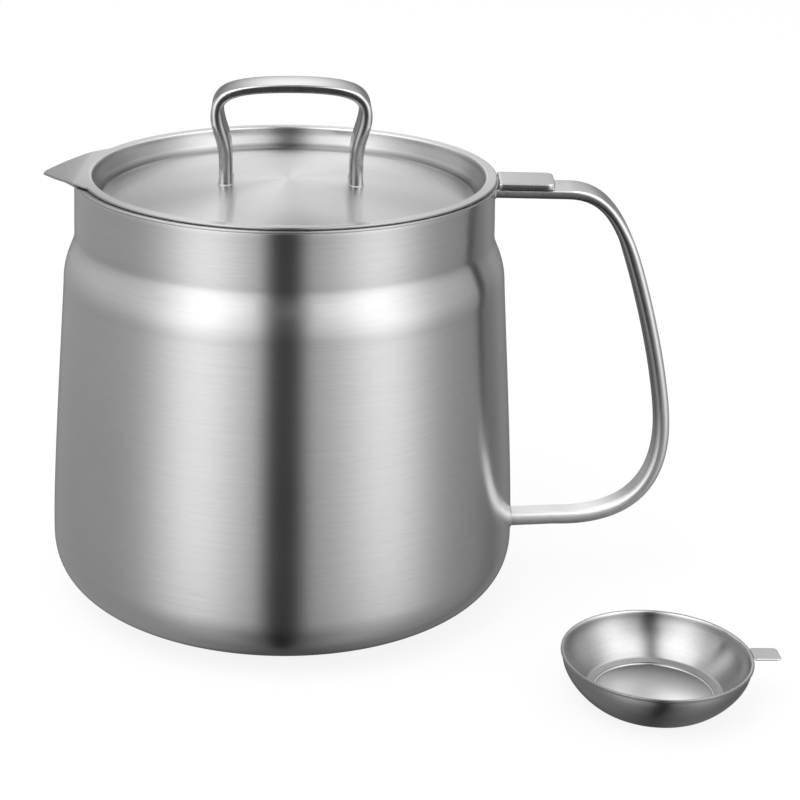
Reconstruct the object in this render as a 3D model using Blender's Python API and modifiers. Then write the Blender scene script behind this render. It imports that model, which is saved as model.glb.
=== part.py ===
"""Bacon grease container: a steel pot with a pouring lip and a strap handle, a strainer
hung in its mouth, a sunken lid with a strap handle, and a small strainer dish beside it.

Metres, +Z up. The origin is the centre of the pot's flat base. The pot's handle points
along +X and the lip along -X. The dish stands on the same surface, in front and to the right.
"""

import math

import bmesh
import bpy
from mathutils import Vector

# Sizes in metres

# clearance between pieces that touch, and how far a cutter runs past what it cuts
GAP = 0.0003
OVERRUN = 0.002

# slip fit of the strainer in the pot and of the lid in the strainer
SLIP = 0.0004

# pot: mouth, neck, shoulder and body of the turned wall
POT_HEIGHT = 0.1361
RIM_RADIUS = 0.0652
NECK_LENGTH = 0.0162
NECK_FLARE = 0.0004
SHOULDER_FALL = 0.0156
SHOULDER_STEP = 0.0039
BODY_FLARE = 0.0057
BELLY_HEIGHT = 0.0201
BASE_RADIUS = 0.0412
POT_SHEET = 0.0009
HEM_WIDTH = 0.0017
HEM_HEIGHT = 0.0040

# pouring lip: a shallow trough outside the rim, its nose under the lid's beak
LIP_INSET = 0.0018
LIP_SHEET = 0.0007
LIP_ROOT_DEPTH = 0.0032
LIP_NOSE_DEPTH = 0.0006

# pot handle: a strap in the XZ plane that narrows and thickens towards its lower end;
# the arms and reaches run from the pot's wall to the middle of the strap
HANDLE_DROP = 0.0009
HANDLE_UPPER_ARM = 0.0228
HANDLE_KNEE_REACH = 0.0413
HANDLE_KNEE_DROP = 0.0147
HANDLE_REACH = 0.0472
HANDLE_REACH_HEIGHT = 0.0545
HANDLE_LOWER_ARM = 0.0138
HANDLE_FOOT_HEIGHT = 0.0241
HANDLE_FOOT_DROP = 0.0012
HANDLE_TOP_WIDTH = 0.0144
HANDLE_KNEE_WIDTH = 0.0132
HANDLE_MIDDLE_WIDTH = 0.0098
HANDLE_FOOT_WIDTH = 0.0080
HANDLE_TOP_THICKNESS = 0.0026
HANDLE_KNEE_THICKNESS = 0.0038
HANDLE_MIDDLE_THICKNESS = 0.0037
HANDLE_FOOT_THICKNESS = 0.0041

# strainer that hangs in the mouth
STRAINER_SHIFT = 0.0009
STRAINER_SHEET = 0.0006
STRAINER_DEPTH = 0.0327
STRAINER_STRAIGHT = 0.0100
STRAINER_FLOOR_RADIUS = 0.0418
STRAINER_LEDGE = 0.0035
STRAINER_SCREEN_SHEET = 0.0005
STRAINER_RING_WIDTH = 0.0026
STRAINER_RING_HEIGHT = 0.0008

# the strainer's tab over the pot handle: a pressed plate with turned-down edges
TAB_LENGTH = 0.0174
TAB_WIDTH = 0.0155
TAB_SHEET = 0.0006
TAB_RISE = 0.0003
TAB_CORNER = 0.0022

# lid: flange, sunken pan with a domed floor, beak
LID_LEAN = 0.0003
LID_SHEET = 0.0007
LID_INSET = 0.0004
LID_TOP_ROUND = 0.0015
LID_COVE = 0.0040
LID_DEPTH = 0.0070
LID_DOME = 0.0048
BEAK_OVERHANG = 0.0122
BEAK_ROOT_HALF_WIDTH = 0.0262
BEAK_DROOP = 0.0018

# lid handle: a strap bow over the middle of the lid
BOW_HEIGHT = 0.0284
BOW_CROWN_HALF = 0.0192
BOW_CROWN_DROP = 0.0021
BOW_BULGE = 0.0030
BOW_SIDE_DROP = 0.0088
BOW_FOOT_HALF = 0.0204
BOW_FOOT_RISE = 0.0075
BOW_WIDTH = 0.0148
BOW_THICKNESS = 0.0025

# small strainer dish beside the pot
DISH_X = 0.1145
DISH_Y = -0.0763
DISH_TURN_DEGREES = 3.5
DISH_HEIGHT = 0.0145
DISH_RADIUS = 0.0281
DISH_FLANGE_WIDTH = 0.0009
DISH_SHEET = 0.0005
DISH_STRAIGHT = 0.0010
DISH_FLOOR_RADIUS = 0.0178
DISH_LEDGE = 0.0022
DISH_SCREEN_SHEET = 0.0004
DISH_RING_WIDTH = 0.0013
DISH_RING_HEIGHT = 0.0005
DISH_TAB_LENGTH = 0.0089
DISH_TAB_WIDTH = 0.0072
DISH_TAB_SHEET = 0.0005
DISH_TAB_CORNER = 0.0014

# Places that follow from the sizes

NECK_RADIUS = RIM_RADIUS + NECK_FLARE
NECK_FOOT = POT_HEIGHT - NECK_LENGTH
SHOULDER_RADIUS = NECK_RADIUS + SHOULDER_STEP
SHOULDER_HEIGHT = NECK_FOOT - SHOULDER_FALL
BELLY_RADIUS = SHOULDER_RADIUS + BODY_FLARE
HANDLE_TOP = POT_HEIGHT - HANDLE_DROP
STRAINER_RADIUS = RIM_RADIUS - GAP
STRAINER_WALL_RADIUS = RIM_RADIUS - HEM_WIDTH - STRAINER_SHIFT - SLIP
STRAINER_TOP = POT_HEIGHT + GAP + STRAINER_SHEET
LID_SHIFT = STRAINER_SHIFT + LID_LEAN
LID_RADIUS = STRAINER_RADIUS - LID_INSET
LID_WALL_RADIUS = STRAINER_WALL_RADIUS - STRAINER_SHEET - LID_LEAN - SLIP - LID_SHEET
LID_FLOOR_RADIUS = LID_WALL_RADIUS - LID_COVE
LID_UNDERSIDE = STRAINER_TOP + GAP
LID_TOP = LID_UNDERSIDE + LID_SHEET

# Proportions, without a unit

# handles of the cubic bends, as parts of the run that each one bends along
BASE_BEND_SHARES = (0.46, 0.92)
BODY_BEND_SHARES = (0.21, 0.24, 0.25)
SHOULDER_BEND_SHARES = (0.56, 0.29)
HANDLE_UPPER_SHARES = (0.49, 0.25, 0.64)
HANDLE_LONG_SHARES = (0.245, 0.124, 0.286)
HANDLE_LOWER_SHARES = (0.61, 0.70)
BOWL_BEND_SHARES = (0.42, 0.25, 0.05)
LID_COVE_SHARES = (0.12, 0.12)
BOW_CROWN_SHARES = (0.47, 0.19, 0.30)
BOW_SHOULDER_SHARES = (0.70, 0.18, 0.46)
BOW_LEG_SHARES = (0.34, 0.48, 0.07)
STRAP_CORNER_SHARE = 0.44

# beak outline: out along the overhang and across the root's half width, tip to side
BEAK_TIP_SHARES = (1, 0.045)
BEAK_MIDDLE_SHARES = (0.57, 0.40)
BEAK_SIDE_SHARES = (0.01, 0.765)
LIP_ROOT_SHARE = 0.86
LIP_NOSE_SHARE = 0.11
LIP_VALLEY_SHARE = 1.6
DROOP_SHARE = 1.3

# how finely the curves are divided
POT_STEPS = 56
DISH_STEPS = 40

PIECES = "bacon_grease_container"
CUTTERS = "cutters"


# Helpers

def clear_scene():
    """Remove every object and the collections of an earlier run."""
    for obj in list(bpy.data.objects):
        bpy.data.objects.remove(obj, do_unlink=True)
    for name in (PIECES, CUTTERS):
        old = bpy.data.collections.get(name)
        if old:
            bpy.data.collections.remove(old)


def new_collection(name):
    collection = bpy.data.collections.new(name)
    bpy.context.scene.collection.children.link(collection)
    return collection


def steel(name, value, roughness):
    """A plain steel material of one grey."""
    mat = bpy.data.materials.new(name)
    mat.use_nodes = True
    shader = mat.node_tree.nodes["Principled BSDF"]
    shader.inputs["Base Color"].default_value = (value, value, value, 1)
    shader.inputs["Metallic"].default_value = 1
    shader.inputs["Roughness"].default_value = roughness
    mat.diffuse_color = (value, value, value, 1)
    return mat


def bend(start, lead, trail, end, steps):
    """Points of a cubic curve, without its first point."""
    points = []
    for i in range(1, steps + 1):
        t = i / steps
        s = 1 - t
        points.append(tuple(
            s ** 3 * a + 3 * s * s * t * b + 3 * s * t * t * c + t ** 3 * d
            for a, b, c, d in zip(start, lead, trail, end)
        ))
    return points


def arc(centre, radius, start_degrees, end_degrees, steps):
    """Points of a circular arc in the profile plane, both ends included."""
    points = []
    for i in range(steps + 1):
        angle = math.radians(start_degrees + (end_degrees - start_degrees) * i / steps)
        points.append((centre[0] + radius * math.cos(angle), centre[1] + radius * math.sin(angle)))
    return points


def offset_line(points, distance):
    """The line beside a profile line, to the right of its direction."""
    moved = []
    for i, (x, z) in enumerate(points):
        before = Vector(points[max(i - 1, 0)])
        after = Vector(points[min(i + 1, len(points) - 1)])
        along = (after - before).normalized()
        moved.append((x + along.y * distance, z - along.x * distance))
    return moved


def link(obj, collection):
    collection.objects.link(obj)
    return obj


def smooth(mesh, degrees=35):
    mesh.shade_smooth()
    mesh.set_sharp_from_angle(angle=math.radians(degrees))


def cutter(obj):
    obj.hide_render = True
    obj.display_type = "WIRE"
    return obj


def turned(name, profile, steps, closed, collection, mat=None):
    """A profile in the XZ plane, turned about Z by a Screw modifier."""
    count = len(profile)
    edges = [(i, i + 1) for i in range(count - 1)]
    if closed:
        edges.append((count - 1, 0))
    mesh = bpy.data.meshes.new(name)
    mesh.from_pydata([(x, 0, z) for x, z in profile], edges, [])
    obj = link(bpy.data.objects.new(name, mesh), collection)
    screw = obj.modifiers.new("turn", "SCREW")
    screw.axis = "Z"
    screw.angle = math.radians(360)
    screw.steps = steps
    screw.render_steps = steps
    screw.use_merge_vertices = True
    screw.merge_threshold = 0.00001
    screw.use_smooth_shade = True
    if mat:
        mesh.materials.append(mat)
    return obj


def baked(obj):
    """Replace an object by the mesh that its modifiers give, with its ends welded."""
    depsgraph = bpy.context.evaluated_depsgraph_get()
    depsgraph.update()
    mesh = bpy.data.meshes.new_from_object(obj.evaluated_get(depsgraph))
    name = obj.name
    place = obj.matrix_world.copy()
    collection = obj.users_collection[0]
    bpy.data.objects.remove(obj, do_unlink=True)
    bm = bmesh.new()
    bm.from_mesh(mesh)
    bmesh.ops.remove_doubles(bm, verts=bm.verts, dist=0.000001)
    bmesh.ops.recalc_face_normals(bm, faces=bm.faces)
    bm.to_mesh(mesh)
    bm.free()
    mesh.name = name
    made = link(bpy.data.objects.new(name, mesh), collection)
    made.matrix_world = place
    return made


def plate(name, outline, bottom, top, collection, mat=None):
    """A flat outline in the XY plane, filled and given its thickness."""
    curve = bpy.data.curves.new(name, "CURVE")
    curve.dimensions = "2D"
    curve.fill_mode = "BOTH"
    curve.extrude = (top - bottom) / 2
    spline = curve.splines.new("POLY")
    spline.points.add(len(outline) - 1)
    for point, (x, y) in zip(spline.points, outline):
        point.co = (x, y, 0, 1)
    spline.use_cyclic_u = True
    obj = link(bpy.data.objects.new(name, curve), collection)
    obj.location.z = (top + bottom) / 2
    bpy.context.view_layer.update()
    made = baked(obj)
    if mat:
        made.data.materials.clear()
        made.data.materials.append(mat)
    return made


def join(obj, other, operation):
    """A Boolean with a hidden cutter or tool."""
    mod = obj.modifiers.new(operation.lower(), "BOOLEAN")
    mod.operation = operation
    mod.solver = "EXACT"
    mod.object = other
    cutter(other)


def strap(name, path, sizes, collection, mat, corner_points=3):
    """A strap along a path in the XZ plane: each section is a rectangle with round corners,
    as wide along Y and as thick across the path as sizes gives there."""
    bm = bmesh.new()
    rings = []
    for i, (x, z) in enumerate(path):
        before = Vector(path[max(i - 1, 0)])
        after = Vector(path[min(i + 1, len(path) - 1)])
        along = (after - before).normalized()
        across = Vector((along.y, -along.x))
        width, thickness = sizes(i / (len(path) - 1))
        radius = STRAP_CORNER_SHARE * thickness
        ring = []
        for turn, (sign_y, sign_n) in enumerate(((1, 1), (-1, 1), (-1, -1), (1, -1))):
            for k in range(corner_points):
                angle = math.radians(90 * turn + 90 * k / (corner_points - 1))
                y = sign_y * (width / 2 - radius) + radius * math.cos(angle)
                n = sign_n * (thickness / 2 - radius) + radius * math.sin(angle)
                ring.append(bm.verts.new((x + across.x * n, y, z + across.y * n)))
        rings.append(ring)
    for first, second in zip(rings, rings[1:]):
        for k in range(len(first)):
            m = (k + 1) % len(first)
            bm.faces.new((first[k], first[m], second[m], second[k]))
    bm.faces.new(rings[0])
    bm.faces.new(rings[-1])
    bmesh.ops.recalc_face_normals(bm, faces=bm.faces)
    mesh = bpy.data.meshes.new(name)
    bm.to_mesh(mesh)
    bm.free()
    smooth(mesh, 50)
    mesh.materials.append(mat)
    return link(bpy.data.objects.new(name, mesh), collection)


# Pot

def pot_outline():
    """The pot's outer side from the rim down to the edge of the flat base."""
    base_share, base_height_share = BASE_BEND_SHARES
    lead_share, trail_share, ease_share = BODY_BEND_SHARES
    rise_share, fall_share = SHOULDER_BEND_SHARES
    body_run = SHOULDER_HEIGHT - BELLY_HEIGHT
    neck = (NECK_RADIUS, NECK_FOOT)
    shoulder = (SHOULDER_RADIUS, SHOULDER_HEIGHT)
    belly = (BELLY_RADIUS, BELLY_HEIGHT)
    base = (BASE_RADIUS, 0)
    points = [(RIM_RADIUS, POT_HEIGHT), neck]
    points += bend(
        neck,
        (NECK_RADIUS, NECK_FOOT - fall_share * SHOULDER_FALL),
        (SHOULDER_RADIUS, SHOULDER_HEIGHT + rise_share * SHOULDER_FALL),
        shoulder, 6)
    points += bend(
        shoulder,
        (SHOULDER_RADIUS + ease_share * BODY_FLARE, SHOULDER_HEIGHT - trail_share * body_run),
        (BELLY_RADIUS, BELLY_HEIGHT + lead_share * body_run),
        belly, 5)
    points += bend(
        belly,
        (BELLY_RADIUS, BELLY_HEIGHT * (1 - base_height_share)),
        (BASE_RADIUS + base_share * (BELLY_RADIUS - BASE_RADIUS), 0),
        base, 8)
    return points


def beak_droop(x):
    """How far the beak hangs below the flange, at a place x in the pot's frame."""
    share = (-x - LID_RADIUS + LID_SHIFT) / BEAK_OVERHANG
    return BEAK_DROOP * max(share, 0) ** DROOP_SHARE


def lip_top(u, v):
    """Top surface of the pouring lip: u goes across it from -1 to 1, v out to the nose."""
    root_radius = RIM_RADIUS + GAP
    spread = math.asin(LIP_ROOT_SHARE * BEAK_ROOT_HALF_WIDTH / root_radius)
    root = Vector((-root_radius * math.cos(u * spread), root_radius * math.sin(u * spread)))
    reach = LID_RADIUS + BEAK_OVERHANG - LID_SHIFT - LIP_INSET
    nose = Vector((-reach, u * LIP_NOSE_SHARE * BEAK_ROOT_HALF_WIDTH))
    place = root.lerp(nose, v)
    depth = LIP_ROOT_DEPTH + (LIP_NOSE_DEPTH - LIP_ROOT_DEPTH) * v
    height = LID_UNDERSIDE - GAP - beak_droop(place.x) - depth * (1 - abs(u) ** LIP_VALLEY_SHARE)
    return Vector((place.x, place.y, height))


def make_pot(pieces, cutters, mats):
    outside = pot_outline()
    inside = offset_line(outside[1:], POT_SHEET)
    hem_foot = POT_HEIGHT - HEM_HEIGHT
    hem_radius = RIM_RADIUS - HEM_WIDTH
    edge = HEM_WIDTH / 2
    floor_up = list(reversed(inside))
    profile = [(0, POT_SHEET)] + floor_up
    profile += [(floor_up[-1][0], hem_foot - HEM_WIDTH), (hem_radius, hem_foot)]
    profile += arc((RIM_RADIUS - edge, POT_HEIGHT - edge), edge, 180, 0, 4)
    profile += outside[1:] + [(0, 0)]
    pot = turned("pot_shell", profile, POT_STEPS, False, pieces, mats["pot"])

    # the rim dips to the trough's level behind the lip
    dip = []
    for i in range(13):
        point = lip_top(-1 + i / 6, 0)
        dip.append((point.y, point.z))
    brim = LID_TOP + OVERRUN
    dip = [(dip[0][0], brim)] + dip + [(dip[-1][0], brim)]
    far = -RIM_RADIUS - OVERRUN
    near = -RIM_RADIUS / 2
    notch = plate("rim_notch", dip, far, near, cutters)
    notch.rotation_euler = (math.radians(90), 0, math.radians(90))
    notch.location = ((far + near) / 2, 0, 0)
    join(pot, notch, "DIFFERENCE")

    lip_mesh = bpy.data.meshes.new("pouring_lip")
    across, out = 12, 4
    verts = [lip_top(-1 + 2 * i / across, j / out) for j in range(out + 1) for i in range(across + 1)]
    faces = []
    for j in range(out):
        for i in range(across):
            a = j * (across + 1) + i
            faces.append((a, a + across + 1, a + across + 2, a + 1))
    lip_mesh.from_pydata(verts, [], faces)
    if lip_mesh.polygons[0].normal.z < 0:
        lip_mesh.flip_normals()
    lip_mesh.materials.append(mats["lip"])
    smooth(lip_mesh)
    lip = link(bpy.data.objects.new("pouring_lip", lip_mesh), pieces)
    shell = lip.modifiers.new("sheet", "SOLIDIFY")
    shell.thickness = LIP_SHEET
    shell.offset = -1
    return pot, lip


def make_pot_handle(pieces, cutters, mats):
    top = HANDLE_TOP - HANDLE_TOP_THICKNESS / 2
    upper = HANDLE_UPPER_SHARES
    long = HANDLE_LONG_SHARES
    lower = HANDLE_LOWER_SHARES
    start = (RIM_RADIUS + HANDLE_UPPER_ARM, top)
    knee = (RIM_RADIUS + HANDLE_KNEE_REACH, top - HANDLE_KNEE_DROP)
    far = (BELLY_RADIUS + HANDLE_REACH, HANDLE_REACH_HEIGHT)
    heel = (BELLY_RADIUS + HANDLE_LOWER_ARM, HANDLE_FOOT_HEIGHT)
    knee_out = knee[0] - start[0]
    long_out = far[0] - knee[0]
    long_fall = knee[1] - far[1]
    heel_in = far[0] - heel[0]
    heel_fall = far[1] - heel[1]
    root = (RIM_RADIUS - OVERRUN, top)
    foot = (BELLY_RADIUS - OVERRUN, HANDLE_FOOT_HEIGHT - HANDLE_FOOT_DROP)
    path = [root, start]
    path += bend(
        start,
        (start[0] + upper[0] * knee_out, top),
        (knee[0] - upper[1] * knee_out, knee[1] + upper[2] * HANDLE_KNEE_DROP),
        knee, 7)
    path += bend(
        knee,
        (knee[0] + long[0] * long_out, knee[1] - long[1] * long_fall),
        (far[0], far[1] + long[2] * long_fall),
        far, 7)
    path += bend(
        far,
        (far[0], far[1] - lower[0] * heel_fall),
        (heel[0] + lower[1] * heel_in, heel[1]),
        heel, 8)
    path.append(foot)

    def sizes(share):
        """Width and thickness eased between the top arm, knee, far side and foot."""
        stations = (
            (0, HANDLE_TOP_WIDTH, HANDLE_TOP_THICKNESS),
            (1 / 24, HANDLE_TOP_WIDTH, HANDLE_TOP_THICKNESS),
            (8 / 24, HANDLE_KNEE_WIDTH, HANDLE_KNEE_THICKNESS),
            (15 / 24, HANDLE_MIDDLE_WIDTH, HANDLE_MIDDLE_THICKNESS),
            (23 / 24, HANDLE_FOOT_WIDTH, HANDLE_FOOT_THICKNESS),
            (1, HANDLE_FOOT_WIDTH, HANDLE_FOOT_THICKNESS),
        )
        for (a, wa, ta), (b, wb, tb) in zip(stations, stations[1:]):
            if share <= b:
                t = (share - a) / (b - a)
                return wa + (wb - wa) * t, ta + (tb - ta) * t
        return stations[-1][1:]

    handle = strap("pot_handle", path, sizes, pieces, mats["handle"])
    around = offset_line(pot_outline(), -GAP)
    around = [(0, POT_HEIGHT + OVERRUN), (around[0][0], POT_HEIGHT + OVERRUN)] + around
    around += [(around[-1][0], -OVERRUN), (0, -OVERRUN)]
    block = turned("pot_volume", around, POT_STEPS, False, cutters)
    join(handle, block, "DIFFERENCE")
    return handle


# Strainers

def strainer_outline(flange_radius, wall_radius, rim_top, sheet, depth, straight, floor_radius,
                     ledge, insert):
    """Closed profile of a strainer bowl: flange, curved wall and a ledge round an open floor."""
    drop_share, in_share, low_share = BOWL_BEND_SHARES
    base = rim_top - depth
    turn = rim_top - sheet - straight
    fall = turn - base
    edge = sheet / 2
    outside = arc((flange_radius - edge, rim_top - edge), edge, 90, -90, 2)
    wall = [(wall_radius, rim_top - sheet), (wall_radius, turn)]
    wall += bend(
        wall[-1],
        (wall_radius, turn - drop_share * fall),
        (floor_radius + in_share * (wall_radius - floor_radius), base + low_share * fall),
        (floor_radius, base), 9)
    step_top = base + sheet + insert
    inner = [p for p in offset_line(wall[1:], sheet) if p[1] > step_top and p[0] > floor_radius]
    inner = [(wall_radius - sheet, rim_top)] + inner + [(floor_radius, step_top)]
    hole = floor_radius - ledge
    return outside + wall + [
        (hole, base), (hole, base + sheet), (floor_radius, base + sheet),
    ] + list(reversed(inner))


def make_strainer(prefix, place, turn_degrees, outline, floor_radius, base, sheet, screen_sheet,
                  ring_width, ring_height, steps, pieces, mats, parent):
    """Bowl, screen on the ledge and the ring that holds the screen down."""
    bowl = turned(prefix + "_bowl", outline, steps, True, pieces, mats["bowl"])
    radius = floor_radius - GAP
    low = base + sheet + GAP
    high = low + screen_sheet
    screen = turned(prefix + "_screen", [(0, high), (radius, high), (radius, low), (0, low)],
                    steps, False, pieces, mats["screen"])
    foot = high + GAP
    top = foot + ring_height
    hole = radius - ring_width
    ring = turned(prefix + "_ring", [(hole, top), (radius, top), (radius, foot), (hole, foot)],
                  steps, True, pieces, mats["ring"])
    for obj in (bowl, screen, ring):
        obj.parent = parent
    parent.location = place
    parent.rotation_euler = (0, 0, math.radians(turn_degrees))
    return bowl, screen, ring


def tab_outline(root, reach, width, corner):
    """A tab along +X with two round corners at its end."""
    half = width / 2
    outline = [(root, half), (root, -half)]
    outline += arc((reach - corner, -half + corner), corner, -90, 0, 4)
    outline += arc((reach - corner, half - corner), corner, 0, 90, 4)
    return outline


def disc_cutter(name, radius, bottom, top, steps, cutters):
    profile = [(0, top), (radius, top), (radius, bottom), (0, bottom)]
    return turned(name, profile, steps, False, cutters)


# Lid

def lid_dome(radius):
    """Height of the lid's floor: a shallow dome, highest in the middle."""
    return LID_TOP - LID_DEPTH + LID_DOME * (1 - (radius / LID_FLOOR_RADIUS) ** 2)


def beak_outer(u):
    """Outer edge of the beak in the lid's frame, u from -1 to 1 across its root."""
    stations = [(0, 0, BEAK_TIP_SHARES[0]), (0.045, BEAK_TIP_SHARES[1], BEAK_TIP_SHARES[0])]
    stations += [(0.4, BEAK_MIDDLE_SHARES[1], BEAK_MIDDLE_SHARES[0])]
    stations += [(0.765, BEAK_SIDE_SHARES[1], BEAK_SIDE_SHARES[0])]
    root_half = math.asin(BEAK_ROOT_HALF_WIDTH / LID_RADIUS)
    root_out = (LID_RADIUS * math.cos(root_half) - LID_RADIUS) / BEAK_OVERHANG
    stations += [(1, 1, root_out)]
    share = abs(u)
    for (a, half_a, out_a), (b, half_b, out_b) in zip(stations, stations[1:]):
        if share <= b:
            t = (share - a) / (b - a)
            half = half_a + (half_b - half_a) * t
            out = out_a + (out_b - out_a) * t
            break
    y = math.copysign(half * BEAK_ROOT_HALF_WIDTH, u)
    return Vector((-LID_RADIUS - out * BEAK_OVERHANG, y))


def make_beak(parent, cutters):
    """The beak's sheet: rows run from inside the flange out to the edge, then it hangs down."""
    inner = LID_WALL_RADIUS + LID_TOP_ROUND + LID_SHEET
    flat = LID_RADIUS - LID_SHEET
    across = (-1, -0.88, -0.765, -0.58, -0.4, -0.22, -0.045, 0, 0.045, 0.22, 0.4, 0.58, 0.765, 0.88, 1)
    rows = (0, 0.25, 0.5, 0.75, 1)
    spread = math.asin(BEAK_ROOT_HALF_WIDTH / LID_RADIUS)
    verts = []
    for u in across:
        direction = Vector((-math.cos(u * spread), math.sin(u * spread)))
        line = [direction * inner, direction * flat]
        edge = beak_outer(u)
        line += [(direction * flat).lerp(edge, row) for row in rows[1:]]
        for place in line:
            verts.append((place.x, place.y, LID_TOP - beak_droop(place.x + LID_SHIFT)))
    count = len(rows) + 1
    faces = []
    for i in range(len(across) - 1):
        for j in range(count - 1):
            a = i * count + j
            faces.append((a, a + 1, a + count + 1, a + count))
    mesh = bpy.data.meshes.new("lid_beak")
    mesh.from_pydata(verts, [], faces)
    if mesh.polygons[0].normal.z < 0:
        mesh.flip_normals()
    beak = link(bpy.data.objects.new("lid_beak", mesh), cutters)
    sheet = beak.modifiers.new("sheet", "SOLIDIFY")
    sheet.thickness = LID_SHEET
    sheet.offset = -1
    beak.parent = parent
    return beak


def make_lid(pieces, cutters, mats, parent):
    top = LID_TOP
    floor = [(LID_FLOOR_RADIUS * i / 7, lid_dome(LID_FLOOR_RADIUS * i / 7)) for i in range(8)]
    low = lid_dome(LID_FLOOR_RADIUS)
    dip_share, rise_share = LID_COVE_SHARES
    upper = floor + bend(
        floor[-1],
        (LID_FLOOR_RADIUS + LID_COVE / 2, low - dip_share * LID_COVE),
        (LID_WALL_RADIUS, low + rise_share * LID_COVE),
        (LID_WALL_RADIUS, low + LID_COVE), 4)
    upper += arc((LID_WALL_RADIUS + LID_TOP_ROUND, top - LID_TOP_ROUND), LID_TOP_ROUND, 180, 90, 3)
    under = offset_line(upper, LID_SHEET)
    edge = LID_SHEET / 2
    seat = LID_WALL_RADIUS + LID_TOP_ROUND
    profile = upper + arc((LID_RADIUS - edge, top - edge), edge, 90, -90, 2)
    profile += [(seat, top - LID_SHEET)] + list(reversed(under[:-1]))
    profile[-1] = (0, profile[0][1] - LID_SHEET)
    pan = turned("lid_pan", profile, POT_STEPS, False, pieces, mats["lid"])
    join(pan, make_beak(parent, cutters), "UNION")

    bow_top = top + BOW_HEIGHT
    half_height = bow_top - BOW_THICKNESS / 2
    foot = lid_dome(BOW_FOOT_HALF - BOW_THICKNESS / 2) + GAP
    crown = BOW_CROWN_SHARES
    shoulder = BOW_SHOULDER_SHARES
    leg = BOW_LEG_SHARES
    side_half = BOW_FOOT_HALF + BOW_BULGE
    side_run = side_half - BOW_CROWN_HALF
    side_fall = BOW_SIDE_DROP - BOW_CROWN_DROP
    knee = foot + BOW_FOOT_RISE
    leg_fall = half_height - BOW_SIDE_DROP - knee
    start = (0, half_height)
    corner = (BOW_CROWN_HALF, half_height - BOW_CROWN_DROP)
    side = (side_half, half_height - BOW_SIDE_DROP)
    half = bend(
        start,
        (crown[0] * BOW_CROWN_HALF, half_height),
        (BOW_CROWN_HALF * (1 - crown[1]), half_height - crown[2] * BOW_CROWN_DROP),
        corner, 5)
    half += bend(
        corner,
        (BOW_CROWN_HALF + shoulder[0] * side_run, corner[1] - shoulder[1] * side_fall),
        (side_half, side[1] + shoulder[2] * side_fall),
        side, 6)
    half += bend(
        side,
        (side_half, side[1] - leg[0] * leg_fall),
        (BOW_FOOT_HALF + leg[2] * BOW_BULGE, knee + leg[1] * leg_fall),
        (BOW_FOOT_HALF, knee), 6)
    half.append((BOW_FOOT_HALF, foot))
    path = [(-x, z) for x, z in reversed(half)] + [start] + half
    bow = strap("lid_handle", path, lambda share: (BOW_WIDTH, BOW_THICKNESS), pieces, mats["bow"])
    pan.parent = parent
    bow.parent = parent
    parent.location = (LID_SHIFT, 0, 0)
    return pan, bow


# Assembly

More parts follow.
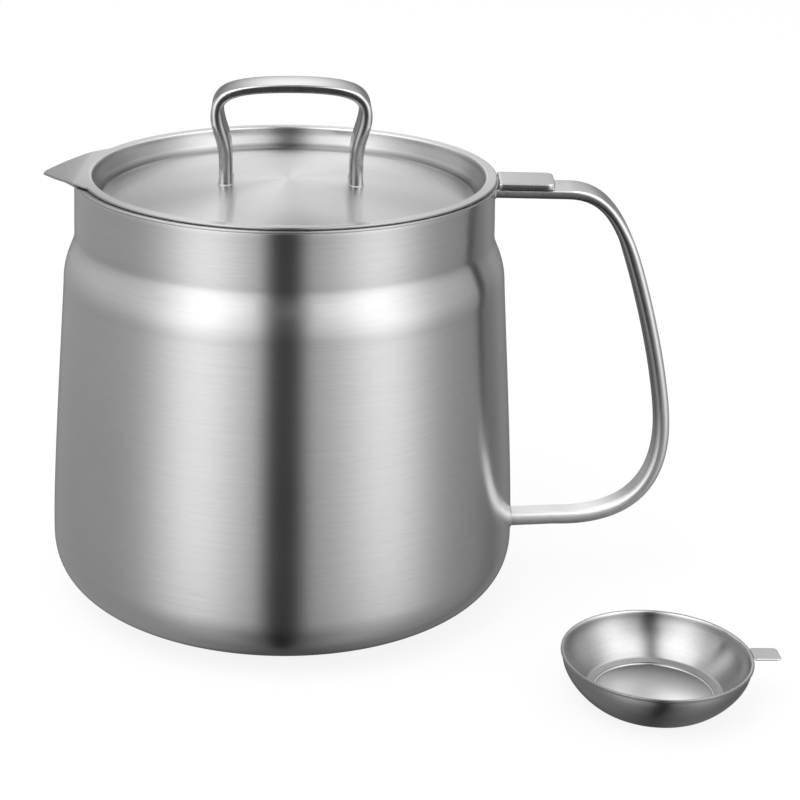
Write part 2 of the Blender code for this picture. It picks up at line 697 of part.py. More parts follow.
def main():
    clear_scene()
    pieces = new_collection(PIECES)
    cutters = new_collection(CUTTERS)
    mats = {
        "pot": steel("pot_steel", 0.56, 0.30),
        "lip": steel("lip_steel", 0.52, 0.34),
        "handle": steel("handle_steel", 0.45, 0.28),
        "lid": steel("lid_steel", 0.62, 0.26),
        "bow": steel("bow_steel", 0.58, 0.22),
    }

    make_pot(pieces, cutters, mats)
    make_pot_handle(pieces, cutters, mats)

    # strainer in the mouth; its empty is the lift axis
    strainer_axis = link(bpy.data.objects.new("strainer_axis", None), pieces)
    strainer_mats = {
        "bowl": steel("strainer_steel", 0.54, 0.32),
        "screen": steel("strainer_screen_steel", 0.42, 0.40),
        "ring": steel("strainer_ring_steel", 0.58, 0.28),
    }
    insert = GAP + STRAINER_SCREEN_SHEET + GAP + STRAINER_RING_HEIGHT
    outline = strainer_outline(
        STRAINER_RADIUS, STRAINER_WALL_RADIUS, STRAINER_TOP, STRAINER_SHEET, STRAINER_DEPTH,
        STRAINER_STRAIGHT, STRAINER_FLOOR_RADIUS, STRAINER_LEDGE, insert)
    make_strainer(
        "strainer", (STRAINER_SHIFT, 0, 0), 0, outline, STRAINER_FLOOR_RADIUS,
        STRAINER_TOP - STRAINER_DEPTH, STRAINER_SHEET, STRAINER_SCREEN_SHEET,
        STRAINER_RING_WIDTH, STRAINER_RING_HEIGHT, POT_STEPS, pieces, strainer_mats,
        strainer_axis)

    # tab with turned-down edges, welded to the strainer's flange above the handle
    tab_top = STRAINER_TOP + TAB_RISE
    tab_bottom = HANDLE_TOP + GAP
    tab_reach = STRAINER_RADIUS + TAB_LENGTH
    tab = plate("strainer_tab",
                tab_outline(STRAINER_WALL_RADIUS, tab_reach, TAB_WIDTH, TAB_CORNER),
                tab_bottom, tab_top, pieces, steel("tab_steel", 0.58, 0.30))
    hollow = plate("tab_hollow",
                   tab_outline(STRAINER_WALL_RADIUS - OVERRUN, tab_reach - TAB_SHEET,
                               TAB_WIDTH - 2 * TAB_SHEET, TAB_CORNER - TAB_SHEET),
                   tab_bottom - OVERRUN, tab_top - TAB_SHEET, cutters)
    mouth = disc_cutter("tab_mouth", STRAINER_RADIUS + GAP, tab_bottom - OVERRUN,
                        tab_top + OVERRUN, POT_STEPS, cutters)
    join(tab, hollow, "DIFFERENCE")
    join(tab, mouth, "DIFFERENCE")
    for obj in (tab, hollow, mouth):
        obj.parent = strainer_axis

    # lid and its bow handle; the empty is the lift axis
    lid_axis = link(bpy.data.objects.new("lid_axis", None), pieces)
    make_lid(pieces, cutters, mats, lid_axis)

    # small dish on the same surface
    dish_axis = link(bpy.data.objects.new("dish_axis", None), pieces)
    dish_mats = {
        "bowl": steel("dish_steel", 0.50, 0.32),
        "screen": steel("dish_screen_steel", 0.46, 0.38),
        "ring": steel("dish_ring_steel", 0.58, 0.28),
    }
    dish_insert = GAP + DISH_SCREEN_SHEET + GAP + DISH_RING_HEIGHT
    dish_wall = DISH_RADIUS - DISH_FLANGE_WIDTH
    dish_outline = strainer_outline(
        DISH_RADIUS, dish_wall, DISH_HEIGHT, DISH_SHEET, DISH_HEIGHT, DISH_STRAIGHT,
        DISH_FLOOR_RADIUS, DISH_LEDGE, dish_insert)
    make_strainer(
        "dish", (DISH_X, DISH_Y, 0), DISH_TURN_DEGREES, dish_outline, DISH_FLOOR_RADIUS, 0,
        DISH_SHEET, DISH_SCREEN_SHEET, DISH_RING_WIDTH, DISH_RING_HEIGHT, DISH_STEPS, pieces,
        dish_mats, dish_axis)
    dish_tab = plate("dish_tab",
                     tab_outline(dish_wall, DISH_RADIUS + DISH_TAB_LENGTH, DISH_TAB_WIDTH,
                                 DISH_TAB_CORNER),
                     DISH_HEIGHT - DISH_TAB_SHEET, DISH_HEIGHT, pieces,
                     steel("dish_tab_steel", 0.62, 0.30))
    dish_mouth = disc_cutter("dish_tab_mouth", DISH_RADIUS + GAP,
                             DISH_HEIGHT - DISH_TAB_SHEET - OVERRUN, DISH_HEIGHT + OVERRUN,
                             DISH_STEPS, cutters)
    join(dish_tab, dish_mouth, "DIFFERENCE")
    for obj in (dish_tab, dish_mouth):
        obj.parent = dish_axis


main()
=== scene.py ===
# %% [markdown]
# # A steel grease pot with its strainer, lid and dish
# Everything here is thin stainless sheet and strap: a spun pot, a strainer hung in its mouth,
# a sunken lid with a beak, and a small strainer dish that stands beside it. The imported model
# gives each solid its true place. This script puts finely divided surfaces in those places,
# gives them brushed and polished steel, and sets the floor, the light and the camera. Shapes
# are written in millimetres and become metres when their mesh is made.

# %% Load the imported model
import math

import bmesh
import bpy
import numpy as np
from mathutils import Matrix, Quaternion


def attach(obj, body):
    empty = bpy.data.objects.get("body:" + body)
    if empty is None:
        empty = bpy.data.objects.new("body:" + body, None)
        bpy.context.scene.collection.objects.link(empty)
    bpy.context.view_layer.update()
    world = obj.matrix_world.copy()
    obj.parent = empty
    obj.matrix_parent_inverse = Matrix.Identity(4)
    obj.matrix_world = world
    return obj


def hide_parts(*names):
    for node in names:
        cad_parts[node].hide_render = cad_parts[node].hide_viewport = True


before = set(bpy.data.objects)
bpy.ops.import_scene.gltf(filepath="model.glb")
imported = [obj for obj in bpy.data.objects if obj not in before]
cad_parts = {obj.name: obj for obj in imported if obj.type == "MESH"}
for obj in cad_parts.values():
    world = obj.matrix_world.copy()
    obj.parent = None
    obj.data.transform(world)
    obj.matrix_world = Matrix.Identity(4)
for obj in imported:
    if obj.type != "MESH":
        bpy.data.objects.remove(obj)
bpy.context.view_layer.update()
MM = 0.001

# %% [markdown]
# ## The camera
# The photograph was taken from a little above the rim, square to the handle. A long lens keeps
# the pot's sides almost parallel. The ellipses of the mouth, the lid and the dish give the
# camera's height and distance. The pot's own axis isn't in the middle of the picture, yet it
# stands upright there, so the frame is slid sideways instead of turning the camera.

# %% Camera
FRAME_PIXELS = 800
LENS_PIXELS = 1946.5
AXIS_PIXEL = 283.2
SENSOR_WIDTH = 36.0
CAMERA_BACK = 590.0 * MM
CAMERA_HEIGHT = 287.4 * MM
CAMERA_TILT = math.radians(20.92)
CAMERA_TURN = math.radians(3.0)
CAMERA_ROLL = math.radians(0.42)

lens = bpy.data.cameras.new("camera")
lens.sensor_width = SENSOR_WIDTH
lens.lens = LENS_PIXELS / FRAME_PIXELS * SENSOR_WIDTH
lens.shift_x = 0.5 - AXIS_PIXEL / FRAME_PIXELS
lens.clip_start = 10.0 * MM
camera = bpy.data.objects.new("camera", lens)
bpy.context.scene.collection.objects.link(camera)
camera.location = (CAMERA_BACK * math.sin(CAMERA_TURN), -CAMERA_BACK * math.cos(CAMERA_TURN), CAMERA_HEIGHT)
camera.rotation_mode = "QUATERNION"
camera.rotation_quaternion = (
    Quaternion((0, 0, 1), CAMERA_TURN)
    @ Quaternion((1, 0, 0), math.radians(90) - CAMERA_TILT)
    @ Quaternion((0, 0, 1), CAMERA_ROLL)
)
bpy.context.scene.camera = camera
print("lens %.1f mm, shift %.3f" % (lens.lens, lens.shift_x))

# %% [markdown]
# ## From a grid of points to faces
# A turned pot, a strap and a rim are all grids: rows along the shape, columns across or round
# it. One could drag such shapes out with modifiers, but a grid from numpy gives even faces and
# an exact edge. Where a grid closes on itself, its last row or column is joined to its first.

# %% Grid helpers
def grid_faces(rows, cols, wrap_rows=False, wrap_cols=False):
    """Quads between grid neighbours: (i, j), (i, j+1), (i+1, j+1), (i+1, j)."""
    i, j = np.meshgrid(
        np.arange(rows if wrap_rows else rows - 1),
        np.arange(cols if wrap_cols else cols - 1),
        indexing="ij",
    )
    down, right = (i + 1) % rows, (j + 1) % cols
    quads = np.stack([i * cols + j, i * cols + right, down * cols + right, down * cols + j], -1)
    return quads.reshape(-1, 4)


def volume_of(points, quads):
    """Sum of the signed corner volumes, dot(a, b x c) / 6, over both halves of each quad."""
    a, b, c, d = (points[quads[:, k]] for k in range(4))
    halves = np.einsum("ij,ij->i", a, np.cross(b, c)) + np.einsum("ij,ij->i", a, np.cross(c, d))
    return halves.sum() / 6


print("a grid of 4 by 5 points has", len(grid_faces(4, 5)), "quads")

# %% [markdown]
# ## From faces to a piece
# The mesh welds what meets, such as a pole or a ring shrunk to a point, and it is turned
# outwards when its volume comes out negative. Brushed steel stretches its highlights round an
# axis, and Blender takes that axis from the mesh's texture space. So a piece whose axis isn't
# the middle of its box is told its centre. Numbers per point, such as the painted shade in a
# cove or a painted highlight on a strap, go into attributes of the mesh, where the materials read them in
# every view.

# %% Surface
WELD_REACH = 0.0004 * MM
SLIVER_REACH = 0.0001 * MM
TEXTURE_SPACE = 100.0 * MM


def surface(name, points, quads, body, slot, sharp=38.0, centre=None, values=None):
    """A piece from points in millimetres; edges sharper than sharp degrees stay crisp."""
    points = np.asarray(points, float).reshape(-1, 3) * MM
    if volume_of(points, quads) < 0:
        quads = quads[:, ::-1]
    mesh = bpy.data.meshes.new(name)
    mesh.from_pydata(points.tolist(), [], quads.tolist())
    for label, numbers in (values or {}).items():
        field = mesh.attributes.new(label, "FLOAT", "POINT")
        field.data.foreach_set("value", np.asarray(numbers, float).ravel())
    weld = bmesh.new()
    weld.from_mesh(mesh)
    bmesh.ops.remove_doubles(weld, verts=weld.verts, dist=WELD_REACH)
    bmesh.ops.dissolve_degenerate(weld, edges=weld.edges, dist=SLIVER_REACH)
    weld.to_mesh(mesh)
    weld.free()
    mesh.shade_smooth()
    mesh.set_sharp_from_angle(angle=math.radians(sharp))
    if centre is not None:
        mesh.use_auto_texspace = False
        mesh.texspace_location = [c * MM for c in centre]
        mesh.texspace_size = (TEXTURE_SPACE, TEXTURE_SPACE, TEXTURE_SPACE)
    piece = bpy.data.objects.new(name, mesh)
    bpy.context.scene.collection.objects.link(piece)
    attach(piece, body)
    print("%-22s %6d faces" % (name, len(mesh.polygons)))
    return piece


def round_surface(name, grid, body, slot, closed_loop=False, **details):
    """A surface whose columns run round it; closed_loop also joins its last row to its first."""
    quads = grid_faces(grid.shape[0], grid.shape[1], closed_loop, True)
    return surface(name, grid, quads, body, slot, **details)


print("points closer than %.1f micrometres are welded" % (WELD_REACH / MM * 1000))

# %% [markdown]
# ## Profiles
# Everything turned starts as a profile: a line of points, each a radius and a height. Its soft
# runs are cubic bends, its edges are arcs, and runs are joined end to end. A sheet's other side
# is the same line moved along its normals, which keeps the thickness true on every curve.

# %% Profile helpers
def bend(a, b, c, d, count):
    """Cubic from a to d with handles b and c: (1-t)^3 a + 3(1-t)^2 t b + 3(1-t) t^2 c + t^3 d."""
    t = np.linspace(0, 1, count)[:, None]
    a, b, c, d = (np.asarray(p, float) for p in (a, b, c, d))
    return (1 - t) ** 3 * a + 3 * (1 - t) ** 2 * t * b + 3 * (1 - t) * t**2 * c + t**3 * d


def line(a, b, count):
    """Evenly spaced points from a to b."""
    t = np.linspace(0, 1, count)[:, None]
    return np.asarray(a, float) * (1 - t) + np.asarray(b, float) * t


def arc(centre, radius, start, end, count):
    """Points of a circle from one angle to another, in degrees."""
    angle = np.radians(np.linspace(start, end, count))
    return np.stack([centre[0] + radius * np.cos(angle), centre[1] + radius * np.sin(angle)], 1)


def join(*runs):
    """Runs of points end to end, without the points that repeat."""
    points = np.concatenate([np.atleast_2d(np.asarray(r, float)) for r in runs])
    keep = np.concatenate([[True], np.linalg.norm(np.diff(points, axis=0), axis=1) > 1e-4])
    return points[keep]


def beside(points, distance):
    """The line at a distance to the right of a line: each point moved along its normal."""
    along = np.gradient(points, axis=0)
    along /= np.linalg.norm(along, axis=1)[:, None]
    return points + distance * np.stack([along[:, 1], -along[:, 0]], 1)


print("a round corner of 9 points:", arc((0, 0), 1, 0, 90, 9).shape)

# %% [markdown]
# ## Turning and closing
# A profile carried round an upright line is a bowl, a ring or a pot. A strap or a tab is a
# stack of rings instead, and it needs its two ends closed: one more ring at each end, shrunk to
# a point, does that without a face of many corners.

# %% Turning helpers
def turn(profile, count=256, centre=(0.0, 0.0), angles=None):
    """A profile of (radius, height) carried round the vertical line through centre."""
    if angles is None:
        angles = np.linspace(0, 2 * np.pi, count, endpoint=False)
    radius, height = profile[:, :1], profile[:, 1:]
    x = centre[0] + radius * np.cos(angles)
    y = centre[1] + radius * np.sin(angles)
    return np.stack([x, y, np.broadcast_to(height, x.shape)], -1)


def close_ends(rings, first, last):
    """The same rings with one more at each end, all its points at first or at last."""
    nothing = np.zeros_like(rings[:1])
    return np.concatenate([nothing + first, rings, nothing + last])


def turned_by(angle):
    """What row vectors (x, y) are multiplied by to turn them by an angle."""
    return np.array([[math.cos(angle), math.sin(angle)], [-math.sin(angle), math.cos(angle)]])


def smooth_step(x, low, high):
    """0 below low, 1 above high, 3t^2 - 2t^3 between."""
    t = np.clip((x - low) / (high - low), 0, 1)
    return t * t * (3 - 2 * t)


print("halfway up a smooth step:", smooth_step(0.5, 0, 1))

# %% [markdown]
# ## Steel, written as sums
# A brushed steel isn't one grey. Its brushing leaves grooves that run round the pot, so the
# light that it throws back is stretched across them, and every few grooves differ a little in
# tone and gloss. Nodes could be wired by hand, but the pattern is arithmetic, so a small class
# lets Python's own signs build the Math nodes.

# %% Shader arithmetic
class Value:
    """One number of a shader. Python's signs between values add Math nodes."""

    def __init__(self, paint, socket):
        self.paint, self.socket = paint, socket

    def __add__(self, other):
        return self.paint.maths("ADD", self, other)

    def __sub__(self, other):
        return self.paint.maths("SUBTRACT", self, other)

    def __rsub__(self, other):
        return self.paint.maths("SUBTRACT", other, self)

    def __mul__(self, other):
        return self.paint.maths("MULTIPLY", self, other)

    def __truediv__(self, other):
        return self.paint.maths("DIVIDE", self, other)

    def __pow__(self, other):
        return self.paint.maths("POWER", self, other)

    def __neg__(self):
        return self.paint.maths("MULTIPLY", self, -1.0)

    __radd__ = __add__
    __rmul__ = __mul__

    def bell(self, middle, width):
        """exp(-((x - middle) / width)^2)"""
        share = (self - middle) / width
        return self.paint.maths("EXPONENT", -(share * share))

    def ease(self, low, high, first=0.0, last=1.0):
        """A smooth step from first, at low, to last, at high."""
        return self.paint.node(
            "ShaderNodeMapRange",
            {"interpolation_type": "SMOOTHSTEP"},
            {0: self, 1: low, 2: high, 3: first, 4: last},
        )


class Paint:
    """The nodes of one material or world."""

    def __init__(self, tree):
        self.tree = tree
        tree.nodes.clear()

    def node(self, kind, settings=None, sockets=None, out=0):
        """A node of any kind: its settings first, then the values or links of its sockets."""
        made = self.tree.nodes.new(kind)
        for key, value in (settings or {}).items():
            setattr(made, key, value)
        for key, value in (sockets or {}).items():
            if isinstance(value, Value):
                self.tree.links.new(value.socket, made.inputs[key])
            else:
                made.inputs[key].default_value = value
        return Value(self, made.outputs[out]) if len(made.outputs) else made

    def maths(self, operation, *values):
        """A Math node with one input for each value."""
        return self.node("ShaderNodeMath", {"operation": operation}, dict(enumerate(values)))

    def axes(self, vector):
        """The three numbers of a vector."""
        split = self.node("ShaderNodeSeparateXYZ", None, {0: vector})
        return [Value(self, socket) for socket in split.socket.node.outputs]

    def point(self, x, y, z):
        """A vector from three numbers."""
        return self.node("ShaderNodeCombineXYZ", None, {0: x, 1: y, 2: z})

    def attribute(self, name):
        """A number that the mesh holds for each point, or 0 where it holds none."""
        return self.node("ShaderNodeAttribute", {"attribute_name": name}, None, "Fac")

    def noise(self, vector, scale, detail=2.0):
        """Cloudy noise, about 0.5 on average."""
        return self.node("ShaderNodeTexNoise", None, {"Vector": vector, "Scale": scale, "Detail": detail})

    def grey(self, level):
        """A neutral colour of a level that varies."""
        return self.node("ShaderNodeCombineColor", None, {0: level, 1: level, 2: level})


print("signs that add a Math node: + - * / **, and - before a value")

# %% [markdown]
# ## One metal, three surfaces
# Brushed, polished and woven steel are the same metal. Only the pattern that feeds its tone,
# its gloss and its bump differs, so the shader itself is made in one place. The bump is a
# fraction of a millimetre deep: it breaks the highlights and leaves the outline alone.

# %% Metal
GROOVE_DEPTH = 0.2 * MM


def new_steel(name, level):
    """An empty material of a name, and the paint for its nodes."""
    steel = bpy.data.materials.new(name)
    steel.use_nodes = True
    steel.diffuse_color = (level, level, level, 1)
    return steel, Paint(steel.node_tree)


def metal(paint, level, gloss, relief, height, depth=GROOVE_DEPTH, stretch=None):
    """Ends a steel's nodes: a metal of that level and roughness, bumped by height."""
    bump = paint.node("ShaderNodeBump", None, {"Strength": relief, "Distance": depth, "Height": height})
    sockets = {"Base Color": paint.grey(level), "Roughness": gloss, "Metallic": 1.0, "Normal": bump}
    if stretch is not None:
        sockets.update({"Anisotropic": stretch, "Anisotropic Rotation": 0.25})
    shader = paint.node("ShaderNodeBsdfPrincipled", None, sockets)
    paint.node("ShaderNodeOutputMaterial", None, {"Surface": shader})


def finish(piece, material):
    """Gives a piece its one material."""
    piece.data.materials.clear()
    piece.data.materials.append(material)
    return piece


print("grooves are %.1f mm deep at full strength" % (GROOVE_DEPTH / MM))

# %% [markdown]
# ## Brushed round an axis
# The pot, strainer, lid and dish were brushed while they turned. The pattern is read in the
# object's own coordinates: the angle round the axis counts little and the way across the
# grooves counts a lot, which draws fine rings. Shorter marks lie between them. Anisotropy on
# the shader itself stretches the highlights across the grooves, into upright bands on the wall
# and a bow tie on the lid.

# %% Brushed steel
AXIS_GUARD = 1e-5


def brushed(name, level, gloss, centre=(0.0, 0.0), across=(0.0, 1.0), stretch=0.9, groove=0.22, tone=0.05):
    """Grooves round an upright axis, groove mm wide; across weighs radius and height."""
    steel, paint = new_steel(name, level)
    place = paint.node("ShaderNodeTexCoord", None, None, "Object")
    to_axis = (-centre[0] * MM, -centre[1] * MM, 0)
    place = paint.node("ShaderNodeMapping", None, {"Vector": place, "Location": to_axis})
    x, y, z = paint.axes(place)
    radius = (x * x + y * y) ** 0.5
    run = (radius * across[0] + z * across[1]) * (1 / (groove * MM))
    cosine, sine = x / (radius + AXIS_GUARD), y / (radius + AXIS_GUARD)
    fine = paint.noise(paint.point(cosine * 2.2, sine * 2.2, run), 1.0, 3.0)
    broad = paint.noise(paint.point(cosine * 1.3, sine * 1.3, run * 0.13), 1.0, 2.0)
    worn = paint.noise(place, 38.0, 3.0)
    short = paint.noise(paint.point(cosine * 15.0, sine * 15.0, run * 0.45), 1.0, 2.0)
    # run changes from groove to groove; the factors of cosine and sine say how fast a mark ends
    grooves = (fine - 0.5) + 0.5 * (broad - 0.5) + 0.9 * (short - 0.5)
    # painted shade from the mesh makes the steel darker by its share, and lighter where it is negative
    level_here = level * (1 - paint.attribute("painted_shade")) * (1 + tone * grooves + 0.04 * (worn - 0.5))
    gloss_here = gloss + 0.05 * (fine - 0.5) + 0.05 * (worn - 0.5)
    metal(paint, level_here, gloss_here, 0.05, fine + 0.6 * broad, stretch=stretch)
    print("%-26s level %.2f, roughness %.2f" % (name, level, gloss))
    return steel


# %% [markdown]
# ## Polished strap
# The two handles were cut from drawn strap and polished along their length. They have no
# grooves round an axis, so they get a plain shine with a few faint draw marks and the softer
# patches that fingers and cloths leave. A strap isn't polished alike all over: its inner side
# stays duller. Shade and highlights are also painted on it. The mesh holds both, as painted
# shade and as satin.

# %% Polished steel
def polished(name, level, gloss, grain=(1.0, 9.0, 1.0)):
    """Steel that was drawn and polished: faint marks, squeezed by grain along each axis."""
    steel, paint = new_steel(name, level)
    place = paint.node("ShaderNodeTexCoord", None, None, "Object")
    drawn = paint.node("ShaderNodeMapping", None, {"Vector": place, "Scale": grain})
    marks = paint.noise(drawn, 420.0, 3.0)
    patches = paint.noise(place, 55.0, 2.0)
    # painted shade from the mesh makes the steel darker by its share, and lighter where it is negative (a
    # painted highlight)
    level_here = level * (1 + 0.08 * (marks - 0.5) + 0.08 * (patches - 0.5)) * (1 - paint.attribute("painted_shade"))
    gloss_here = gloss + 0.27 * paint.attribute("satin") + 0.08 * (marks - 0.5) + 0.10 * (patches - 0.5)
    metal(paint, level_here, gloss_here, 0.04, marks)
    print("%-26s level %.2f, roughness %.2f" % (name, level, gloss))
    return steel


# %% [markdown]
# ## Fine weave
# The dish's screen is woven so finely that no single wire shows at this distance. Real wires
# would be millions of faces, so this one is a thin sheet whose tone and normals follow two
# crossed waves, one for each set of wires.

# %% Woven steel
WIRE_DEPTH = 0.04 * MM


def woven(name, level, gloss, pitch):
    """Height is the larger of |cos(pi x / pitch)| and |cos(pi y / pitch)|."""
    steel, paint = new_steel(name, level)
    place = paint.node("ShaderNodeTexCoord", None, None, "Object")
    waves = []
    for distance in paint.axes(place)[:2]:
        wave = paint.maths("COSINE", distance * (math.pi / (pitch * MM)))
        waves.append(paint.maths("ABSOLUTE", wave))
    weave = paint.maths("MAXIMUM", *waves)
    patches = paint.noise(place, 90.0, 3.0)
    # painted shade from the mesh makes the weave darker by its share
    level_here = level * (1 - paint.attribute("painted_shade")) * (0.82 + 0.18 * weave + 0.06 * (patches - 0.5))
    metal(paint, level_here, gloss + 0.06 * (patches - 0.5), 0.2, weave, WIRE_DEPTH)
    print("%-26s level %.2f, roughness %.2f" % (name, level, gloss))
    return steel


# %% [markdown]
# ## The pot's wall
# A pot like this is spun over a form from one disc. Seen from the side its wall is a run of
# soft curves: a flat base, a round corner, a body that leans in as it rises, a shoulder and a
# straight neck. A revolved spline would do; here the profile is four cubic bends, laid down the
# outside and back up the inside at the sheet's thickness. The rim is turned in to a narrow hem.

# %% Pot profile
SHEET = 0.8
RIM, HEM_IN, RIM_TOP, HEM_START, HEM_FOOT = 65.22, 63.5, 136.35, 130.0, 132.1
RIM_CORNER = 0.14
NECK_FOOT, SHOULDER, BELLY, BASE_EDGE = (65.6, 119.9), (69.47, 104.3), (75.16, 20.05), (41.2, 0.0)


def pot_outside():
    """(radius, height) from the rim down to the middle of the flat base."""
    return join(
        bend((RIM, RIM_TOP - RIM_CORNER), (RIM, 130.0), (65.6, 123.9), NECK_FOOT, 16),
        bend(NECK_FOOT, (65.6, 115.3), (69.22, 113.05), SHOULDER, 30),
        bend(SHOULDER, (70.9, 84.3), (75.04, 38.05), BELLY, 34),
        bend(BELLY, (75.56, 1.5), (56.8, 0.0), BASE_EDGE, 44),
        line(BASE_EDGE, (0.0, 0.0), 10),
    )


def pot_profile():
    """The closed wall: up the inside from the middle, over the hem, down the outside."""
    outside = pot_outside()
    inside = beside(outside[1:], SHEET)[::-1]
    inside[0] = (0, SHEET)
    inside = inside[inside[:, 1] < HEM_START]
    hem = join(
        bend(inside[-1], (inside[-1][0], HEM_START + 1), (HEM_IN, HEM_START + 1), (HEM_IN, HEM_FOOT), 6),
        line((HEM_IN, HEM_FOOT), (HEM_IN, RIM_TOP - RIM_CORNER), 4),
        arc((HEM_IN + RIM_CORNER, RIM_TOP - RIM_CORNER), RIM_CORNER, 180, 90, 6),
        arc((RIM - RIM_CORNER, RIM_TOP - RIM_CORNER), RIM_CORNER, 90, 0, 6),
    )
    return join(inside, hem, outside)


radius, height = pot_outside()[::-1].T
litres = np.sum(np.pi * (radius[1:] - SHEET) ** 2 * np.diff(height)) / 1e6
print("the pot holds about %.1f litres to the brim" % litres)

# %% [markdown]
# ## The dip for pouring
# Behind the lid's beak the rim is pressed down a little, so that fat leaves there and nowhere
# else. It isn't cut: the hem follows the dip. So the points near the rim are lowered by an
# amount that depends on the angle, and the rest of the wall stays as it was turned. The turn
# of the base gets a little painted shade, a slightly darker tone.

# %% Pot wall with its dip
LIP_HALF_ANGLE = math.asin(22.5 / 65.5)
WALL_STEPS = 320
BASE_PAINTED_SHADE = 0.09


def rim_dip(angle):
    """0.8 mm at the beak's middle, less by 4 |u|^1.6 with u the share of the lip's half angle."""
    share = np.abs(np.angle(np.exp(1j * (angle - np.pi)))) / LIP_HALF_ANGLE
    return np.maximum(0, 0.8 - 4 * share**1.6)


angles = np.linspace(0, 2 * np.pi, WALL_STEPS, endpoint=False)
wall = turn(pot_profile(), angles=angles)
wall[..., 2] -= rim_dip(angles) * smooth_step(wall[..., 2], 127.0, 134.0)
# painted shade: the steel is darker near the base, fading out between 6 and 13 mm up
base_painted_shade = BASE_PAINTED_SHADE * (1 - smooth_step(wall[..., 2], 6.0, 13.0))
pot_steel = brushed("brushed_pot_steel", level=0.62, gloss=0.22, groove=0.17, stretch=0.82, tone=0.10)
pot = finish(round_surface("pot_wall", wall, "pot", "pot", values={"painted_shade": base_painted_shade}), pot_steel)
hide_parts("pot_shell")

# %% [markdown]
# ## The pouring lip
# A small trough is welded outside the dip, under the beak. Its floor rises towards the nose
# and its sides meet the underside of the lid's beak with a hair of air between. It is a patch
# with one parameter across the trough and one along it, given a top, a bottom and two edges.
# The lid's few sizes that it needs are named here, where they are first used.

# %% Pouring lip
LID_X, LID_EDGE, LID_TOP, LID_SHEET = 1.2, 64.5, 138.0, 0.7
BEAK_OUT, BEAK_HANG = 12.2, 1.8
LIP_ROOT, LIP_NOSE, LIP_NOSE_HALF = 65.4, 72.6, 2.0
LIP_ROOT_DEPTH, LIP_NOSE_DEPTH, LIP_SHEET, LIP_AIR = 2.0, 0.5, 0.5, 0.3
LIP_ROOT_ANGLE = LIP_HALF_ANGLE * 0.97


def beak_droop(x):
    """How far the beak hangs at a place x: 1.8 mm times (share of the overhang)^1.3."""
    share = np.clip((-x - LID_EDGE + LID_X) / BEAK_OUT, 0, None)
    return BEAK_HANG * share**1.3


def trough(u, v, sink=0.0):
    """Trough point: root arc to nose by v, across by u; sunk by depth(v) (1 - |u|^1.6)."""
    root_x, root_y = -LIP_ROOT * np.cos(u * LIP_ROOT_ANGLE), LIP_ROOT * np.sin(u * LIP_ROOT_ANGLE)
    x = root_x * (1 - v) - LIP_NOSE * v
    y = root_y * (1 - v) + LIP_NOSE_HALF * u * v
    depth = LIP_ROOT_DEPTH * (1 - v) + LIP_NOSE_DEPTH * v
    z = LID_TOP - LID_SHEET - LIP_AIR - beak_droop(x) - depth * (1 - np.abs(u) ** 1.6) - sink
    return np.stack([x, y, z], -1)


u, v = np.meshgrid(np.linspace(-1, 1, 41), np.linspace(0, 1, 17), indexing="ij")
lip_points = np.concatenate([trough(u, v), trough(u, v, LIP_SHEET)[:, ::-1]], 1)
rows, count = lip_points.shape[:2]
side = np.arange(count // 2 - 1)
left = np.stack([side, side + 1, count - 2 - side, count - 1 - side], 1)
right = left[:, ::-1] + (rows - 1) * count
lip_quads = np.concatenate([grid_faces(rows, count, wrap_cols=True), left, right])
lip = surface("pot_pouring_lip", lip_points, lip_quads, "pot", "lip")
finish(lip, brushed("brushed_lip_steel", level=0.60, gloss=0.38, groove=0.24))
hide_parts("pouring_lip")

# %% [markdown]
# ## Straps
# A handle is a flat bar bent in one plane. The bar's section is a rectangle with rounded
# corners, set square to the path at each step, and it may grow or shrink on the way. A bevelled
# curve would keep one section throughout, so the rings of points are worked out here.

# %% Strap along a path
CORNER_STEPS = 9


def even(path, count):
    """The same line with evenly spaced points, and each one's share of the whole run."""
    run = np.concatenate([[0], np.cumsum(np.linalg.norm(np.diff(path, axis=0), axis=1))])
    want = np.linspace(0, run[-1], count)
    return np.stack([np.interp(want, run, path[:, k]) for k in range(path.shape[1])], 1), want / run[-1]


def strap_rings(path, width, thick, corner):
    """Rings round an XZ path, with closed ends, and which of a ring's points lie inside the bend.

    A ring's corner centres are at (width/2 - r, thick/2 - r), and r (cos, sin) is added.
    """
    along = np.gradient(path, axis=0)
    along /= np.linalg.norm(along, axis=1)[:, None]
    normal = np.stack([along[:, 1], -along[:, 0]], 1)
    quarters = 90 * np.arange(4)[:, None]
    angle = np.radians(quarters + np.linspace(0, 90, CORNER_STEPS)).ravel()
    sign_w = np.repeat([1, -1, -1, 1], CORNER_STEPS)
    sign_t = np.repeat([1, 1, -1, -1], CORNER_STEPS)
    sizes = (np.broadcast_to(np.asarray(a, float), len(path))[:, None] for a in (width, thick, corner))
    width, thick, corner = sizes
    across = sign_w * (width / 2 - corner) + corner * np.cos(angle)
    out = sign_t * (thick / 2 - corner) + corner * np.sin(angle)
    rings = np.stack([path[:, :1] + normal[:, :1] * out, across, path[:, 1:] + normal[:, 1:] * out], -1)
    return close_ends(rings, rings[0].mean(axis=0), rings[-1].mean(axis=0)), sign_t > 0


def along_strap(numbers):
    """One number per ring as a column, with the end rings' numbers repeated for their points."""
    return np.concatenate([numbers[:1], numbers, numbers[-1:]])[:, None]


print("a strap's ring has", 4 * CORNER_STEPS, "points")

# %% [markdown]
# ## Welds
# Where a strap meets the sheet, a thin bead of weld runs round its foot. It is a small circle
# carried along the strap's last ring. Its radius swells and shrinks a little on the way, as the
# puddles of a real weld do.

# %% Weld bead
BEAD_STEPS = 10


